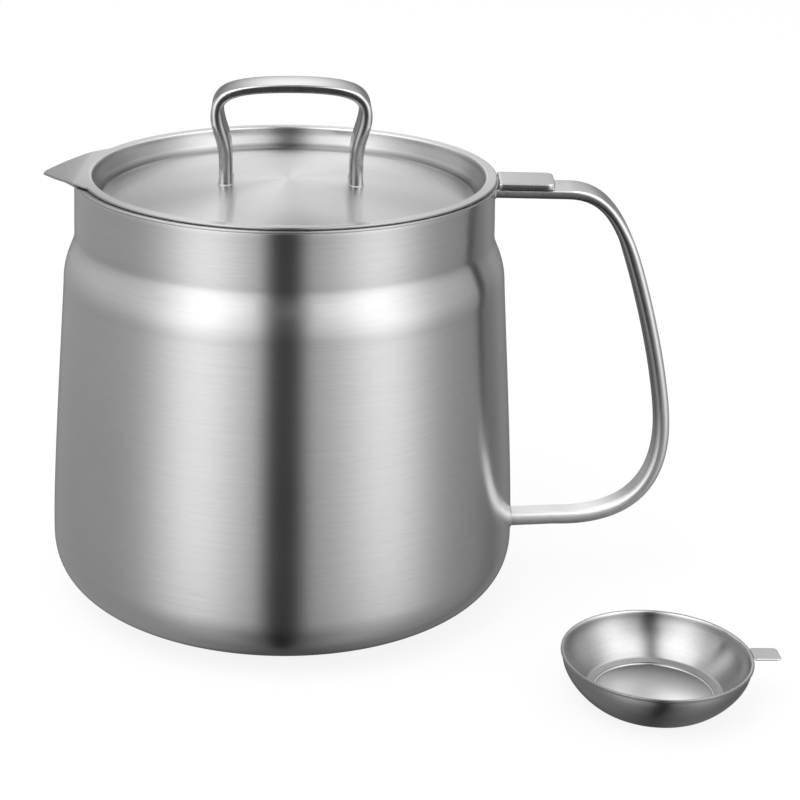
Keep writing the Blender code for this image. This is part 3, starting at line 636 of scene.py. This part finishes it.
def bead(name, ring, radius, body, slot, material):
    """A circle of a small radius, times 1 + 0.1 sin(1.9 k) at point k, along a closed ring."""
    ahead = np.roll(ring, -1, 0) - np.roll(ring, 1, 0)
    ahead /= np.linalg.norm(ahead, axis=1)[:, None]
    out = ring - ring.mean(0)
    out -= np.einsum("ij,ij->i", out, ahead)[:, None] * ahead
    out /= np.linalg.norm(out, axis=1)[:, None]
    side = np.cross(ahead, out)
    angle = np.linspace(0, 2 * np.pi, BEAD_STEPS, endpoint=False)[None, :, None]
    lump = 1 + 0.10 * np.sin(np.arange(len(ring)) * 1.9)[:, None, None]
    circle = np.cos(angle) * out[:, None] + np.sin(angle) * side[:, None]
    points = ring[:, None] + radius * lump * circle
    return finish(round_surface(name, points, body, slot, closed_loop=True, sharp=80), material)


weld_steel = polished("weld_steel", level=0.55, gloss=0.40)

# %% [markdown]
# ## The pot's handle
# The strap leaves the neck level with the rim, turns down in a round knee, runs out and down
# and comes back to the body near its foot in a wider bend. It starts flat and broad, where the
# thumb lies, and gets narrower and thicker towards the foot. A highlight is painted on its outer
# face at the upper arm. Painted shade darkens its inner face there, and a painted highlight
# brightens it again near the foot; the polish gets softer on the way down.

# %% Pot handle
HANDLE_WALL_TOP, HANDLE_WALL_FOOT, HANDLE_WELD = 65.3, 75.1, 0.4
path = join(
    line((64.75, 133.9), (88.0, 133.9), 30),
    bend((88.0, 133.9), (97.0, 133.9), (101.9, 128.6), (106.5, 119.2), 40),
    bend((106.5, 119.2), (110.4, 111.2), (122.4, 73.0), (122.4, 54.5), 60),
    bend((122.4, 54.5), (122.4, 36.0), (112.5, 24.1), (89.0, 24.1), 60),
    line((89.0, 24.1), (74.75, 23.05), 20),
)
path, share = even(path, 300)
stations = [0, 0.12, 0.30, 0.55, 0.90, 1]
width = np.interp(share, stations, [14.4, 14.4, 13.0, 9.8, 8.0, 8.0])
thick = np.interp(share, stations, [2.6, 2.6, 4.4, 4.6, 4.6, 4.6])
path = beside(path, np.interp(share, stations, [0, 0, 0.3, 0.45, 0.1, 0])[:, None])
corner = np.interp(share, [0, 0.12, 0.24, 0.50, 1], [0.55, 0.55, 1.5, 1.9, 1.9])
rings, inside = strap_rings(path, width, thick, corner)
satin = np.interp(share, [0, 0.10, 0.16, 0.24, 0.40, 0.60, 1], [0.4, 0.4, 0.25, 0.0, 0.35, 0.8, 1.0])
# painted shade on the strap's inner side down past the knee, then a painted highlight there near the foot
inside_painted_shade_and_highlight = np.interp(share, [0, 0.58, 0.70, 0.80], [0.55, 0.55, 0, -0.25])
# a painted highlight on the outer face of the upper arm
outside_painted_highlight = np.interp(share, [0.13, 0.20], [0.22, 0])
handle_look = {
    "satin": np.broadcast_to(along_strap(satin), rings.shape[:2]),
    "painted_shade": along_strap(inside_painted_shade_and_highlight) * inside - along_strap(outside_painted_highlight) * ~inside,
}
handle = round_surface("pot_handle_strap", rings, "pot", "handle", sharp=60, values=handle_look)
finish(handle, polished("polished_handle_steel", level=0.75, gloss=0.16))
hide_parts("pot_handle")
for label, index, wall_radius in (("upper", 1, HANDLE_WALL_TOP), ("lower", -2, HANDLE_WALL_FOOT)):
    ring = rings[index].copy()
    ring[:, 0] = np.sqrt(wall_radius**2 - ring[:, 1] ** 2)
    bead("pot_handle_weld_" + label, ring, HANDLE_WELD, "pot", "handle", weld_steel)

# %% [markdown]
# ## A bowl with an open floor
# The strainer and the dish are one form in two sizes: a flange, a short straight wall, a long
# bend inwards and a ledge on which a screen lies. The profile runs down the outside and back up
# the inside as one closed loop. So the bowl has a true thickness and no border to close.

# %% Bowl profile
BOWL_BEND_SHARES = (0.42, 0.25, 0.05)
FLANGE_EDGE, FLANGE_ROOT = 0.12, 0.6
OUTSIDE_SHOULDER = 13


def bowl_profile(flange, wall, top, sheet, straight, depth, floor, ledge, insert):
    """Closed loop of (radius, height): flange edge, down the outside, ledge, up the inside."""
    base, edge, root = top - depth, FLANGE_EDGE, FLANGE_ROOT
    start = top - sheet - straight
    fall = start - base
    fall_handle = (wall, start - BOWL_BEND_SHARES[0] * fall)
    floor_handle = (floor + BOWL_BEND_SHARES[1] * (wall - floor), base + BOWL_BEND_SHARES[2] * fall)
    outside = join(
        arc((flange - edge, top - edge), edge, 90, 0, 4),
        arc((flange - edge, top - sheet + edge), edge, 0, -90, 4),
        line((flange - edge, top - sheet), (wall + root, top - sheet), 4),
        arc((wall + root, top - sheet - root), root, 90, 180, 5),
        line((wall, top - sheet - root), (wall, start), 6),
        bend((wall, start), fall_handle, floor_handle, (floor, base), 40),
    )
    step = base + sheet + insert
    inner = beside(outside[OUTSIDE_SHOULDER:], sheet)
    # the inner line keeps clear of the flange's root above and of the screen's step below
    inner = inner[(inner[:, 1] > step + 0.15) & (inner[:, 1] < top - 1.0) & (inner[:, 0] > floor + 0.3)]
    hole = floor - ledge
    inside = join(
        line((wall - sheet - 0.02, top - 0.9), inner[0], 3),
        inner,
        bend(inner[-1], (inner[-1][0] - 0.5, step), (floor + 0.4, step), (floor, step - 0.1), 8),
        line((floor, step - 0.1), (floor, base + sheet), 4),
        line((floor, base + sheet), (hole, base + sheet), 3),
    )
    lip = arc((wall - sheet + root, top - root), root, 90, 180, 6)
    return join(outside, line((floor, base), (hole, base), 3), inside[::-1], lip[::-1][:-1])


def ring_profile(outer, inner, low, high, r=0.15):
    """A flat ring with its edges just broken, by arcs of radius r."""
    return join(
        arc((outer - r, high - r), r, 90, 0, 4),
        arc((outer - r, low + r), r, 0, -90, 4),
        arc((inner + r, low + r), r, -90, -180, 4),
        arc((inner + r, high - r), r, 180, 90, 4),
    )


print("a ring's profile has", len(ring_profile(2.0, 1.0, 0.0, 1.0)), "points")

# %% [markdown]
# ## The strainer's bowl
# Under the lid hangs a bowl that catches scraps. It hangs a little to the right of the pot's
# middle, as the photograph shows. Its flange is flush with the pot's rim and shows
# there as a second thin edge below the lid's. Towards the tab the flange is drawn out a little
# past the rim. So the flange's points are moved back over the pot and then pulled along their
# own angle, and the bowl below stays as it was turned.

# %% Strainer bowl
STRAINER_X = 0.9
STRAINER = dict(flange=65.2, wall=62.2, top=137.0, sheet=0.6, straight=9.4)
STRAINER.update(depth=32.7, floor=41.8, ledge=3.5, insert=1.9)
STRAINER_STEPS = 256
FLANGE_PULL = 0.9

loop = bowl_profile(**STRAINER)
points = turn(loop, STRAINER_STEPS, (STRAINER_X, 0))
flange_share = smooth_step(loop[:, :1], 62.9, 64.6)
cosine = np.cos(np.linspace(0, 2 * np.pi, STRAINER_STEPS, endpoint=False))
pull = FLANGE_PULL * np.maximum(cosine, 0) ** 1.5
points[..., 0] += flange_share * (pull * cosine - STRAINER_X)
points[..., 1] += flange_share * pull * points[..., 1] / STRAINER["flange"]
look = dict(centre=(STRAINER_X, 0, 120))
strainer = round_surface("strainer_basket", points, "strainer", "strainer", closed_loop=True, **look)
finish(strainer, brushed("brushed_strainer_steel", 0.60, 0.38, centre=(STRAINER_X, 0), across=(0.7, 1.0)))
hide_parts("strainer_bowl")

# %% [markdown]
# ## The strainer's screen
# The screen is woven from fine wire, over and under. A picture of a weave on a plate would look
# flat from the side, so the wires are real: each is a wave, and its neighbours are half a wave
# behind. A wire that reaches the edge of the disc shrinks to a point there and is closed. A
# ring lies on the wires' ends and holds them down.

# %% Woven screen
WIRE_SIDES, STEPS_PER_WIRE = 4, 2
SCREEN_RADIUS, WIRE_PITCH, WIRE = 41.3, 1.15, 0.26
RING_OUTER, RING_INNER, RING_HEIGHT = 41.4, 38.9, 0.8
SEAT_AIR, SCREEN_ROOM = 0.3, 0.5


def woven_disc(radius, pitch, wire, height, centre):
    """Two sets of parallel wires, each z = +-0.52 wire cos(pi s / pitch + pi k), cut to a circle."""
    lines = np.arange(-int(radius / pitch), int(radius / pitch) + 1)
    reach = np.sqrt(np.maximum(radius**2 - (lines * pitch) ** 2, 0))[:, None]
    steps = int(radius / pitch) * STEPS_PER_WIRE + 2
    s = (np.arange(-steps, steps + 1) * (pitch / STEPS_PER_WIRE))[None, :]
    open_end = (np.abs(s) <= reach).astype(float)[..., None]
    s = np.clip(s, -reach, reach)
    angle = np.linspace(0, 2 * np.pi, WIRE_SIDES, endpoint=False) + np.pi / WIRE_SIDES
    side = lines[:, None, None] * pitch + open_end * wire / 2 * np.cos(angle)
    along = np.broadcast_to(s[..., None], side.shape)
    parts = []
    for sign, swap in ((1, False), (-1, True)):
        wave = (wire * 0.52) * np.cos(np.pi * s / pitch + np.pi * lines[:, None]) * sign
        up = height + wave[..., None] + open_end * wire / 2 * np.sin(angle)
        x, y = (side, along) if swap else (along, side)
        parts.append(np.stack([centre[0] + x, centre[1] + y, up], -1).reshape(-1, 3))
    one = grid_faces(s.shape[1], WIRE_SIDES, wrap_cols=True)
    offsets = np.arange(2 * len(lines))[:, None, None] * s.shape[1] * WIRE_SIDES
    quads = (one[None] + offsets).reshape(-1, 4)
    half = len(quads) // 2
    quads[half:] = quads[half:, ::-1]
    return np.concatenate(parts), quads


seat = STRAINER["top"] - STRAINER["depth"] + STRAINER["sheet"] + SEAT_AIR
points, quads = woven_disc(SCREEN_RADIUS, WIRE_PITCH, WIRE, seat + WIRE, (STRAINER_X, 0))
screen = surface("strainer_woven_screen", points, quads, "strainer", "screen", 80)
finish(screen, polished("woven_wire_steel", level=0.60, gloss=0.32))
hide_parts("strainer_screen")

low = seat + SCREEN_ROOM + SEAT_AIR
points = turn(ring_profile(RING_OUTER, RING_INNER, low, low + RING_HEIGHT), 192, (STRAINER_X, 0))
ring = round_surface("strainer_hold_ring", points, "strainer", "ring", closed_loop=True)
finish(ring, brushed("brushed_ring_steel", 0.66, 0.30, centre=(STRAINER_X, 0), across=(1.0, 0.2)))
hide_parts("strainer_ring")

# %% [markdown]
# ## The strainer's tab
# The strainer is lifted by a tab that lies on the handle. It is pressed from the same sheet: a
# flat top with its edges turned down. Its outline is a rectangle with two round corners, and
# the same outline is drawn again and again, smaller and higher, over the rounded edge. One more
# outline a little further in keeps the flat top's shading apart from the edge's.

# %% Strainer tab
ROOT_CORNER = 0.15
FLAT_MARGIN = 0.8


def tab_outline(start, end, half, corner, inset):
    """Outline of a tab along +X, drawn inset from its edge all round."""
    s, r = ROOT_CORNER, max(corner - inset, ROOT_CORNER)
    x0, x1, h = start + inset, end - inset, half - inset
    return join(
        line((x0, h - s), (x0, -h + s), 12),
        arc((x0 + s, -h + s), s, 180, 270, 3),
        line((x0 + s, -h), (x1 - r, -h), 14),
        arc((x1 - r, -h + r), r, -90, 0, 9),
        arc((x1 - r, h - r), r, 0, 90, 9),
        line((x1 - r, h), (x0 + s, h), 14),
        arc((x0 + s, h - s), s, 90, 180, 3)[:-1],
    )


def tab_rings(form, insets, heights, middle):
    """One outline at each inset and height, closed at the first and the last height."""
    outlines = [tab_outline(*form, inset) for inset in insets]
    rings = [np.column_stack([outline, np.full(len(outline), z)]) for outline, z in zip(outlines, heights)]
    return close_ends(np.stack(rings), (middle, 0, heights[0]), (middle, 0, heights[-1]))


def pressed_tab(form, top, bottom, sheet, edge_round):
    """Rings of one outline: middle of the top, over the edge, down, under and back inside."""
    arch = np.radians(np.linspace(90, 0, 7))
    under = sheet + edge_round * 0.5
    insets = [edge_round + FLAT_MARGIN, *edge_round * (1 - np.cos(arch))]
    insets += [0.0, 0.1, sheet - 0.1, sheet, under, under + FLAT_MARGIN]
    heights = [top, *top - edge_round + edge_round * np.sin(arch)]
    heights += [bottom + 0.1, bottom, bottom, bottom + 0.1, top - sheet, top - sheet]
    return tab_rings(form, insets, heights, (form[0] + form[1]) / 2)


rings = pressed_tab((66.1, 83.2, 7.75, 2.2), top=137.3, bottom=135.5, sheet=0.6, edge_round=0.45)
tab = round_surface("strainer_lift_tab", rings, "strainer", "tab", sharp=50)
finish(tab, polished("satin_tab_steel", level=0.74, gloss=0.22, grain=(9.0, 1.0, 1.0)))
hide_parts("strainer_tab")

# %% [markdown]
# ## The lid's shape
# The lid is pressed from one sheet: a flange, a wall that drops into the mouth, a cove and a
# floor that rises a little in the middle. On the left its flange runs out to a beak that hangs
# over the lip. To draw the beak in the same skin, the flange's outer edge is a radius that
# depends on the angle, and there are more columns where the beak is.

# %% Lid outline and pan
LID_WALL, LID_FOOT, LID_FLOOR, FLOOR_RIM, FLOOR_RISE = 60.7, 58.7, 56.5, 131.0, 4.8
LID_ROUND = 0.85
BEAK_HALF = np.array([(1.3, 76.6), (10.5, 71.45), (20.0, 64.65), (25.0, 59.5)])
BEAK_CORNERS = np.concatenate([BEAK_HALF[::-1] * (-1, 1), BEAK_HALF])


def floor_height(radius):
    """The dome of the floor: 131.0 at its rim, 4.8 mm more in the middle, falling as r^2."""
    return FLOOR_RIM + FLOOR_RISE * (1 - (radius / LID_FLOOR) ** 2)


def lid_edge(angle):
    """Distance of the lid's edge from its middle: the flange's circle or the beak's outline."""
    along = np.angle(np.exp(1j * (angle - np.pi)))
    tangent = np.tan(np.clip(along, -0.6, 0.6))
    side, out = BEAK_CORNERS.T
    y = np.interp(tangent, side / out, side)
    x = np.interp(tangent, side / out, out)
    outline = np.where(np.abs(along) < 0.45, np.hypot(x, y), 0)
    return np.maximum(LID_EDGE, outline)


def lid_pan():
    """(radius, height) from the middle of the floor to the top of the wall."""
    floor_radius = np.linspace(0, LID_FLOOR, 40)
    rim, foot, wall = (LID_FLOOR, FLOOR_RIM), (LID_FOOT, FLOOR_RIM + 1.2), (LID_WALL, LID_TOP - LID_ROUND)
    return join(
        np.column_stack([floor_radius, floor_height(floor_radius)]),
        bend(rim, (LID_FLOOR + 1.1, FLOOR_RIM - 0.17), (LID_FOOT - 0.35, FLOOR_RIM), foot, 12),
        bend(foot, (LID_FOOT + 0.6, FLOOR_RIM + 3.0), (LID_WALL, FLOOR_RIM + 4.6), wall, 12),
        arc((LID_WALL + LID_ROUND, LID_TOP - LID_ROUND), LID_ROUND, 180, 90, 9),
    )


lid_angles = np.sort(np.unique(np.round(np.concatenate([
    np.linspace(0, 2 * np.pi, 288, endpoint=False),
    np.pi + np.radians(np.linspace(-26, 26, 157)),
]), 6)))
print("lid: %d columns, beak reaches %.1f mm" % (len(lid_angles), lid_edge(lid_angles).max()))

# %% [markdown]
# ## The lid's sheet
# The rows of the lid's grid run over the pan, out along the flange, round its edge, back
# underneath and down the pan's other side. What lies beyond the pot's rim hangs down with the
# beak. The cove between floor and wall is where little light gets in: shade is painted there
# by a narrow bell, a smaller share of painted shade lies on the wall, and the rolled edge gets
# painted shade too, which dims its highlight.

# %% Lid
pan = lid_pan()
start = LID_WALL + LID_ROUND
pan_under = beside(pan, LID_SHEET)[::-1]
pan_under[-1] = (0, pan[0][1] - LID_SHEET)
pan_under = join((start, LID_TOP - LID_SHEET), pan_under[1:])
edge_radius = lid_edge(lid_angles)
half_sheet = LID_SHEET / 2
out_top = start + (edge_radius - half_sheet - start) * np.linspace(0, 1, 14)[1:, None]
roll = np.radians(np.linspace(90, -90, 9))[1:-1, None]
out_edge = edge_radius - half_sheet + half_sheet * np.cos(roll)


def all_round(numbers):
    """One number per row, the same in every column of the lid."""
    return np.broadcast_to(numbers[:, None], (len(numbers), len(lid_angles)))


rows_r = np.concatenate([all_round(pan[:, 0]), out_top, out_edge, out_top[::-1], all_round(pan_under[:, 0])])
rows_z = np.concatenate([
    all_round(pan[:, 1]),
    np.full_like(out_top, LID_TOP),
    LID_TOP - half_sheet + half_sheet * np.sin(roll) + 0 * out_edge,
    np.full_like(out_top, LID_TOP - LID_SHEET),
    all_round(pan_under[:, 1]),
])
x = LID_X + rows_r * np.cos(lid_angles)
lid_points = np.stack([x, rows_r * np.sin(lid_angles), rows_z - beak_droop(x)], -1)
row = np.arange(len(rows_r))[:, None]
# painted shade: a narrow bell in the cove, a smaller share on the wall and some on the rolled edge, which
# dims its highlight
cove_painted_shade = 0.72 * np.exp(-(((rows_r - LID_FOOT + 0.5) / 0.65) ** 2))
wall_painted_shade = 0.22 * smooth_step(rows_r, 58.7, 59.5) * (1 - smooth_step(rows_r, 60.75, 61.0))
edge_start = len(pan) + len(out_top)
rolled = (row >= edge_start) & (row < edge_start + len(out_edge))
painted_shade = np.where(row < len(pan), np.maximum(cove_painted_shade, wall_painted_shade), 0.40 * rolled)
lid = round_surface("lid_plate", lid_points, "lid", "lid", centre=(LID_X, 0, 135), values={"painted_shade": painted_shade})
lid_axis = dict(centre=(LID_X, 0), across=(1.0, 0.35))
finish(lid, brushed("brushed_lid_steel", level=0.66, gloss=0.26, tone=0.08, groove=0.30, **lid_axis))
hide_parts("lid_pan")

# %% [markdown]
# ## The bow on the lid
# Two fingers lift the lid by a bow of strap. It is flat on top, swells at the shoulders, draws
# in and stands with straight feet on the dome, where two small welds hold it. Half of its path
# is drawn and mirrored. Its legs are thicker and rounder than its crown, its inner side gets
# painted shade and a duller polish, and the whole bow is turned by 3 degrees, as it was welded.

# %% Lid bow
BOW_TURN = math.radians(3.0)
BOW_WIDTH, BOW_THICK, BOW_CORNER, BOW_WELD = 14.9, 2.5, 0.65, 0.32
BOW_FOOT, BOW_SHIFT = 20.9, 0.7
half = join(
    bend((0, 165.15), (9.0, 165.15), (15.5, 164.5), (19.2, 163.05), 26),
    bend((19.2, 163.05), (22.2, 161.8), (23.4, 159.6), (23.4, 156.4), 26),
    bend((23.4, 156.4), (23.4, 151.8), (21.1, 149.6), (BOW_FOOT, 143.0), 30),
    line((BOW_FOOT, 143.0), (BOW_FOOT, floor_height(19.1) + 0.02), 14),
)
bow_path, share = even(join(half[::-1] * (-1, 1), half), 220)
legs = 1 - smooth_step(np.minimum(share, 1 - share), 0.18, 0.36)
bow_path = beside(bow_path, 0.7 * legs[:, None])
rings, inside = strap_rings(bow_path, BOW_WIDTH, BOW_THICK + 1.5 * legs, BOW_CORNER + 0.95 * legs)
# painted shade on the bow's inner side, which also makes its polish duller
painted_shade = 0.45 * np.broadcast_to(inside.astype(float), rings.shape[:2])
rings[..., :2] = rings[..., :2] @ turned_by(BOW_TURN) + (LID_X + BOW_SHIFT, 0)
bow = round_surface("lid_bow", rings, "lid", "bow", sharp=60, values={"satin": 0.7 * painted_shade, "painted_shade": painted_shade})
finish(bow, polished("polished_bow_steel", level=0.64, gloss=0.13))
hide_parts("lid_handle")
for label, index in (("left", 1), ("right", -2)):
    ring = rings[index].copy()
    ring[:, 2] = floor_height(np.hypot(ring[:, 0] - LID_X, ring[:, 1]))
    bead("lid_bow_weld_" + label, ring, BOW_WELD, "lid", "bow", weld_steel)

# %% [markdown]
# ## The small dish
# The dish is the strainer's form again, at less than half its size. It stands by itself on the
# surface, so it is made about its own middle and then carried to its place in its mesh. Shade is
# painted on it: much on its outside, little on its inside, and the narrow band round the screen between.

# %% Dish
DISH = np.array([114.5, -76.3])
DISH_FORM = dict(flange=28.0, wall=27.45, top=14.5, sheet=0.5, straight=1.2)
DISH_FORM.update(depth=14.5, floor=17.8, ledge=2.2, insert=1.5)
DISH_OUTSIDE_ROWS = 52
OUTSIDE_PAINTED_SHADE, INSIDE_PAINTED_SHADE, BAND_PAINTED_SHADE = 0.44, 0.13, 0.20

loop = bowl_profile(**DISH_FORM)
points = turn(loop, 224, DISH)
loop_radius, loop_height = loop.T
# painted shade: much on the outside, a little on the inner wall and more on the band round the screen; the
# rim's top has none
band = (1 - smooth_step(loop_radius, 19.6, 24.5)) * (loop_height < 7.0)
inner = INSIDE_PAINTED_SHADE * (loop_height < 13.4) + BAND_PAINTED_SHADE * band
row_painted_shade = np.where(np.arange(len(loop)) < DISH_OUTSIDE_ROWS, OUTSIDE_PAINTED_SHADE, inner)
look = dict(centre=(*DISH, 7), values={"painted_shade": row_painted_shade[:, None] + np.zeros(points.shape[:2])})
dish = round_surface("dish_basin", points, "dish", "dish", closed_loop=True, **look)
dish_grooves = dict(groove=0.16, stretch=0.8, tone=0.24, centre=DISH, across=(0.7, 1.0))
finish(dish, brushed("brushed_dish_steel", level=0.62, gloss=0.29, **dish_grooves))
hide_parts("dish_bowl")

# %% [markdown]
# ## The dish's screen and its ring
# The screen is a thin disc pushed up into a low dome, and shade is painted on its far side, as
# in the photograph. Its profile starts from a flat ring with a rounded edge, whose hole is then
# filled by two lines to the middle. A thin ring holds it down.

# %% Dish screen and ring
DISH_SCREEN, DISH_DOME, DISH_SCREEN_LOW, DISH_SCREEN_HIGH = 17.6, 3.0, 0.75, 1.15
edge = ring_profile(DISH_SCREEN, 0.0, DISH_SCREEN_LOW, DISH_SCREEN_HIGH, 0.12)
radius = np.linspace(17.4, 0, 24)[:, None]
under = np.hstack([radius, 0 * radius + DISH_SCREEN_LOW])[1:]
over = np.hstack([radius, 0 * radius + DISH_SCREEN_HIGH])[:0:-1]
sheet = join(edge[4:8], under, over, edge[:4])
sheet[:, 1] += DISH_DOME * (1 - (sheet[:, 0] / DISH_SCREEN) ** 2)
points = turn(sheet, 160, DISH)
# painted shade, rising towards the screen's far side
painted_shade = 0.62 * smooth_step(points[..., 1] - DISH[1], -12.0, 19.0)
look = dict(centre=(*DISH, 1), values={"painted_shade": painted_shade})
dish_screen = round_surface("dish_woven_screen", points, "dish", "dish_screen", closed_loop=True, **look)
finish(dish_screen, woven("fine_woven_steel", level=0.86, gloss=0.30, pitch=0.30))
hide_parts("dish_screen")

points = turn(ring_profile(17.9, 17.2, 1.1, 1.6), 160, DISH)
dish_ring = round_surface("dish_hold_ring", points, "dish", "dish_ring", closed_loop=True)
finish(dish_ring, brushed("brushed_dish_ring_steel", 0.68, 0.30, centre=DISH, across=(1.0, 0.2), groove=0.2))
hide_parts("dish_ring")

# %% [markdown]
# ## The dish's tab
# A short flat tab is welded to the dish's rim. Its outline is drawn once on top and once below,
# with a rounded edge between, and then turned a little, as it stands in the photograph. The
# photograph shows no image of the dish on the pot either, so the dish's four pieces are hidden
# from glossy rays.

# %% Dish tab
DISH_TURN = math.radians(3.5)
DISH_TAB_TOP, DISH_TAB_HALF_SHEET, DISH_TAB_MARGIN, DISH_TAB_MIDDLE = 14.5, 0.25, 0.9, 32.6

arch = np.radians(np.linspace(90, -90, 7))
insets = [DISH_TAB_MARGIN, *DISH_TAB_HALF_SHEET * (1 - np.cos(arch)), DISH_TAB_MARGIN]
heights = DISH_TAB_TOP - DISH_TAB_HALF_SHEET + DISH_TAB_HALF_SHEET * np.array([1, *np.sin(arch), -1])
rings = tab_rings((28.05, 36.0, 3.6, 1.4), insets, heights, DISH_TAB_MIDDLE)
rings[..., :2] = rings[..., :2] @ turned_by(DISH_TURN) + DISH
dish_tab = round_surface("dish_lift_tab", rings, "dish", "dish_tab", sharp=50)
finish(dish_tab, polished("satin_dish_tab_steel", level=0.66, gloss=0.34, grain=(9.0, 1.0, 1.0)))
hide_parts("dish_tab")
for piece in (dish, dish_screen, dish_ring, dish_tab):
    piece.visible_glossy = False

# %% [markdown]
# ## The room
# Bright metal has almost no colour of its own: it shows the room. In the photograph two broad
# soft boxes stand left and right of the camera with a dark gap between them, and the ceiling is
# pale. The room is painted on the world by direction, in degrees: the angle round the pot sets
# the soft boxes, the height above the horizon sets the ceiling. From the camera, what lies
# behind the pot shows only in the lid and the dish. Only glossy rays see this room. All other
# rays, from the camera or from a dull surface, meet plain white.

# %% Directions
world = bpy.data.worlds.new("studio")
bpy.context.scene.world = world
world.use_nodes = True
room = Paint(world.node_tree)
DEGREES = 180 / math.pi
dx, dy, dz = room.axes(room.node("ShaderNodeTexCoord", None, None, "Generated"))
round_angle = room.maths("ARCTAN2", dx, -dy) * DEGREES
height_angle = room.maths("ARCSINE", dz) * DEGREES
back_angle = room.maths("ABSOLUTE", round_angle)
rear_angle = room.maths("ARCTAN2", dx, dy) * DEGREES
print("angles: 0 is towards the camera, 90 is to the right, 180 is behind the pot")

# %% [markdown]
# ## Soft boxes, gap and ceiling
# Each soft box is a bell round its own angle, dimmed below the horizon by smooth steps, because
# the pot's base turns dark. The gap between them is a deep notch whose width depends on the
# height. The ceiling has a soft notch of its own, in line with the gap.

# %% Room
GAP_ANGLE, LEFT_BOX, RIGHT_BOX, BOX_SPREAD = 3.5, -39.0, 54.0, 24.0
aside = room.maths("ABSOLUTE", round_angle - GAP_ANGLE)
gap = (aside - 6 * height_angle.ease(20.0, 40.0)).ease(4.0, 16.0, 0.10, 1.0) * (
    1 - 0.78 * round_angle.bell(3.0, 33.0) * height_angle.ease(-52.0, -28.0, 1.0, 0.0)
)
pale = (0.35 - 0.05 * round_angle.ease(60.0, 110.0) - 0.11 * round_angle.bell(130.0, 14.0)) * (
    height_angle.ease(-95.0, -58.0, 0.22, 1.0) * (1 + height_angle.ease(-24.0, 14.0))
)
left_box = round_angle.bell(LEFT_BOX, BOX_SPREAD) * height_angle.ease(-20.0, -8.0, 0.78, 0.72)
right_box = round_angle.bell(RIGHT_BOX, BOX_SPREAD) * height_angle.ease(-27.0, -18.0, 0.60, 0.68)
boxes = (left_box + right_box) * (
    height_angle.ease(-62.0, -34.0, 0.06, 0.30)
    + height_angle.ease(-34.0, -19.0, 0.0, 0.70)
    + height_angle.ease(-20.0, 8.0, 0.0, 0.42)
)
back_wall = back_angle.ease(140.0, 162.0) * rear_angle.ease(-12.0, 5.0, 0.18, 0.30)
back_light = height_angle.ease(0.0, 14.0) * (0.02 + back_wall + 0.80 * rear_angle.bell(-3.0, 5.5))
rear = height_angle.ease(-40.0, -6.0, 0.10, 0.22) + back_light
behind = (back_angle + 22 * height_angle.ease(-8.0, 12.0)).ease(145.0, 172.0)
walls = gap * (pale + boxes) * (1 - behind) + rear * behind
overhead = (height_angle + 7 * behind).ease(30.0, 56.0)
ceiling = 2.25 * (1 - 0.88 * dx.bell(0.03, 0.14)) * dy.ease(0.0, 0.5, 1.0, 0.75)
seen = walls * (1 - overhead) + ceiling * overhead
glossy_ray = room.node("ShaderNodeLightPath", None, None, "Is Glossy Ray")
light_colour = room.grey(1 + glossy_ray * (seen - 1))
background = room.node("ShaderNodeBackground", None, {"Color": light_colour, "Strength": 1.0})
room.node("ShaderNodeOutputWorld", None, {"Surface": background})
print("room painted with", len(world.node_tree.nodes), "nodes")

# %% [markdown]
# ## The floor and the lamp
# The photograph has no floor at all, only white. Plain white paper would show how the lamp's
# light falls off. So most of the floor's colour is its own glow and the rest is paper, which
# keeps a faint soft shadow. One broad lamp, high up in front and to the left, casts it. Glossy
# rays see neither floor nor lamp: their light is already in the painted room.

# %% Floor and lamp
FLOOR_SIZE, FLOOR_DROP, FLOOR_GLOW = 8.0, 0.2 * MM, 0.86
LAMP_SIZE, LAMP_POWER = 0.9, 6.0

below = (0, 0, -FLOOR_DROP)
bpy.ops.mesh.primitive_grid_add(x_subdivisions=8, y_subdivisions=8, size=FLOOR_SIZE, location=below)
floor = bpy.context.object
floor.name = "floor"
white_paper = bpy.data.materials.new("white_paper")
white_paper.use_nodes = True
paint = Paint(white_paper.node_tree)
lit = paint.node("ShaderNodeBsdfDiffuse", None, {"Color": (0.92, 0.92, 0.92, 1)})
plain = paint.node("ShaderNodeEmission", None, {"Color": (1, 1, 1, 1), "Strength": 1.0})
mixed = paint.node("ShaderNodeMixShader", None, {0: FLOOR_GLOW, 1: lit, 2: plain})
paint.node("ShaderNodeOutputMaterial", None, {"Surface": mixed})
finish(floor, white_paper)
floor.visible_glossy = False

lamp = bpy.data.lights.new("softbox", "AREA")
lamp.shape = "RECTANGLE"
lamp.size, lamp.size_y = LAMP_SIZE, LAMP_SIZE
lamp.energy = LAMP_POWER
lamp_object = bpy.data.objects.new("softbox", lamp)
bpy.context.scene.collection.objects.link(lamp_object)
lamp_object.location = (-0.35, -0.45, 1.1)
lamp_object.rotation_euler = (math.radians(22), math.radians(-17), 0)
lamp_object.visible_glossy = False
print("floor %.0f m wide, lamp %.0f W" % (FLOOR_SIZE, LAMP_POWER))

# %% [markdown]
# ## Picture settings
# The Standard view shows a colour as it is written.

# %% Picture settings
bpy.context.scene.view_settings.view_transform = "Standard"
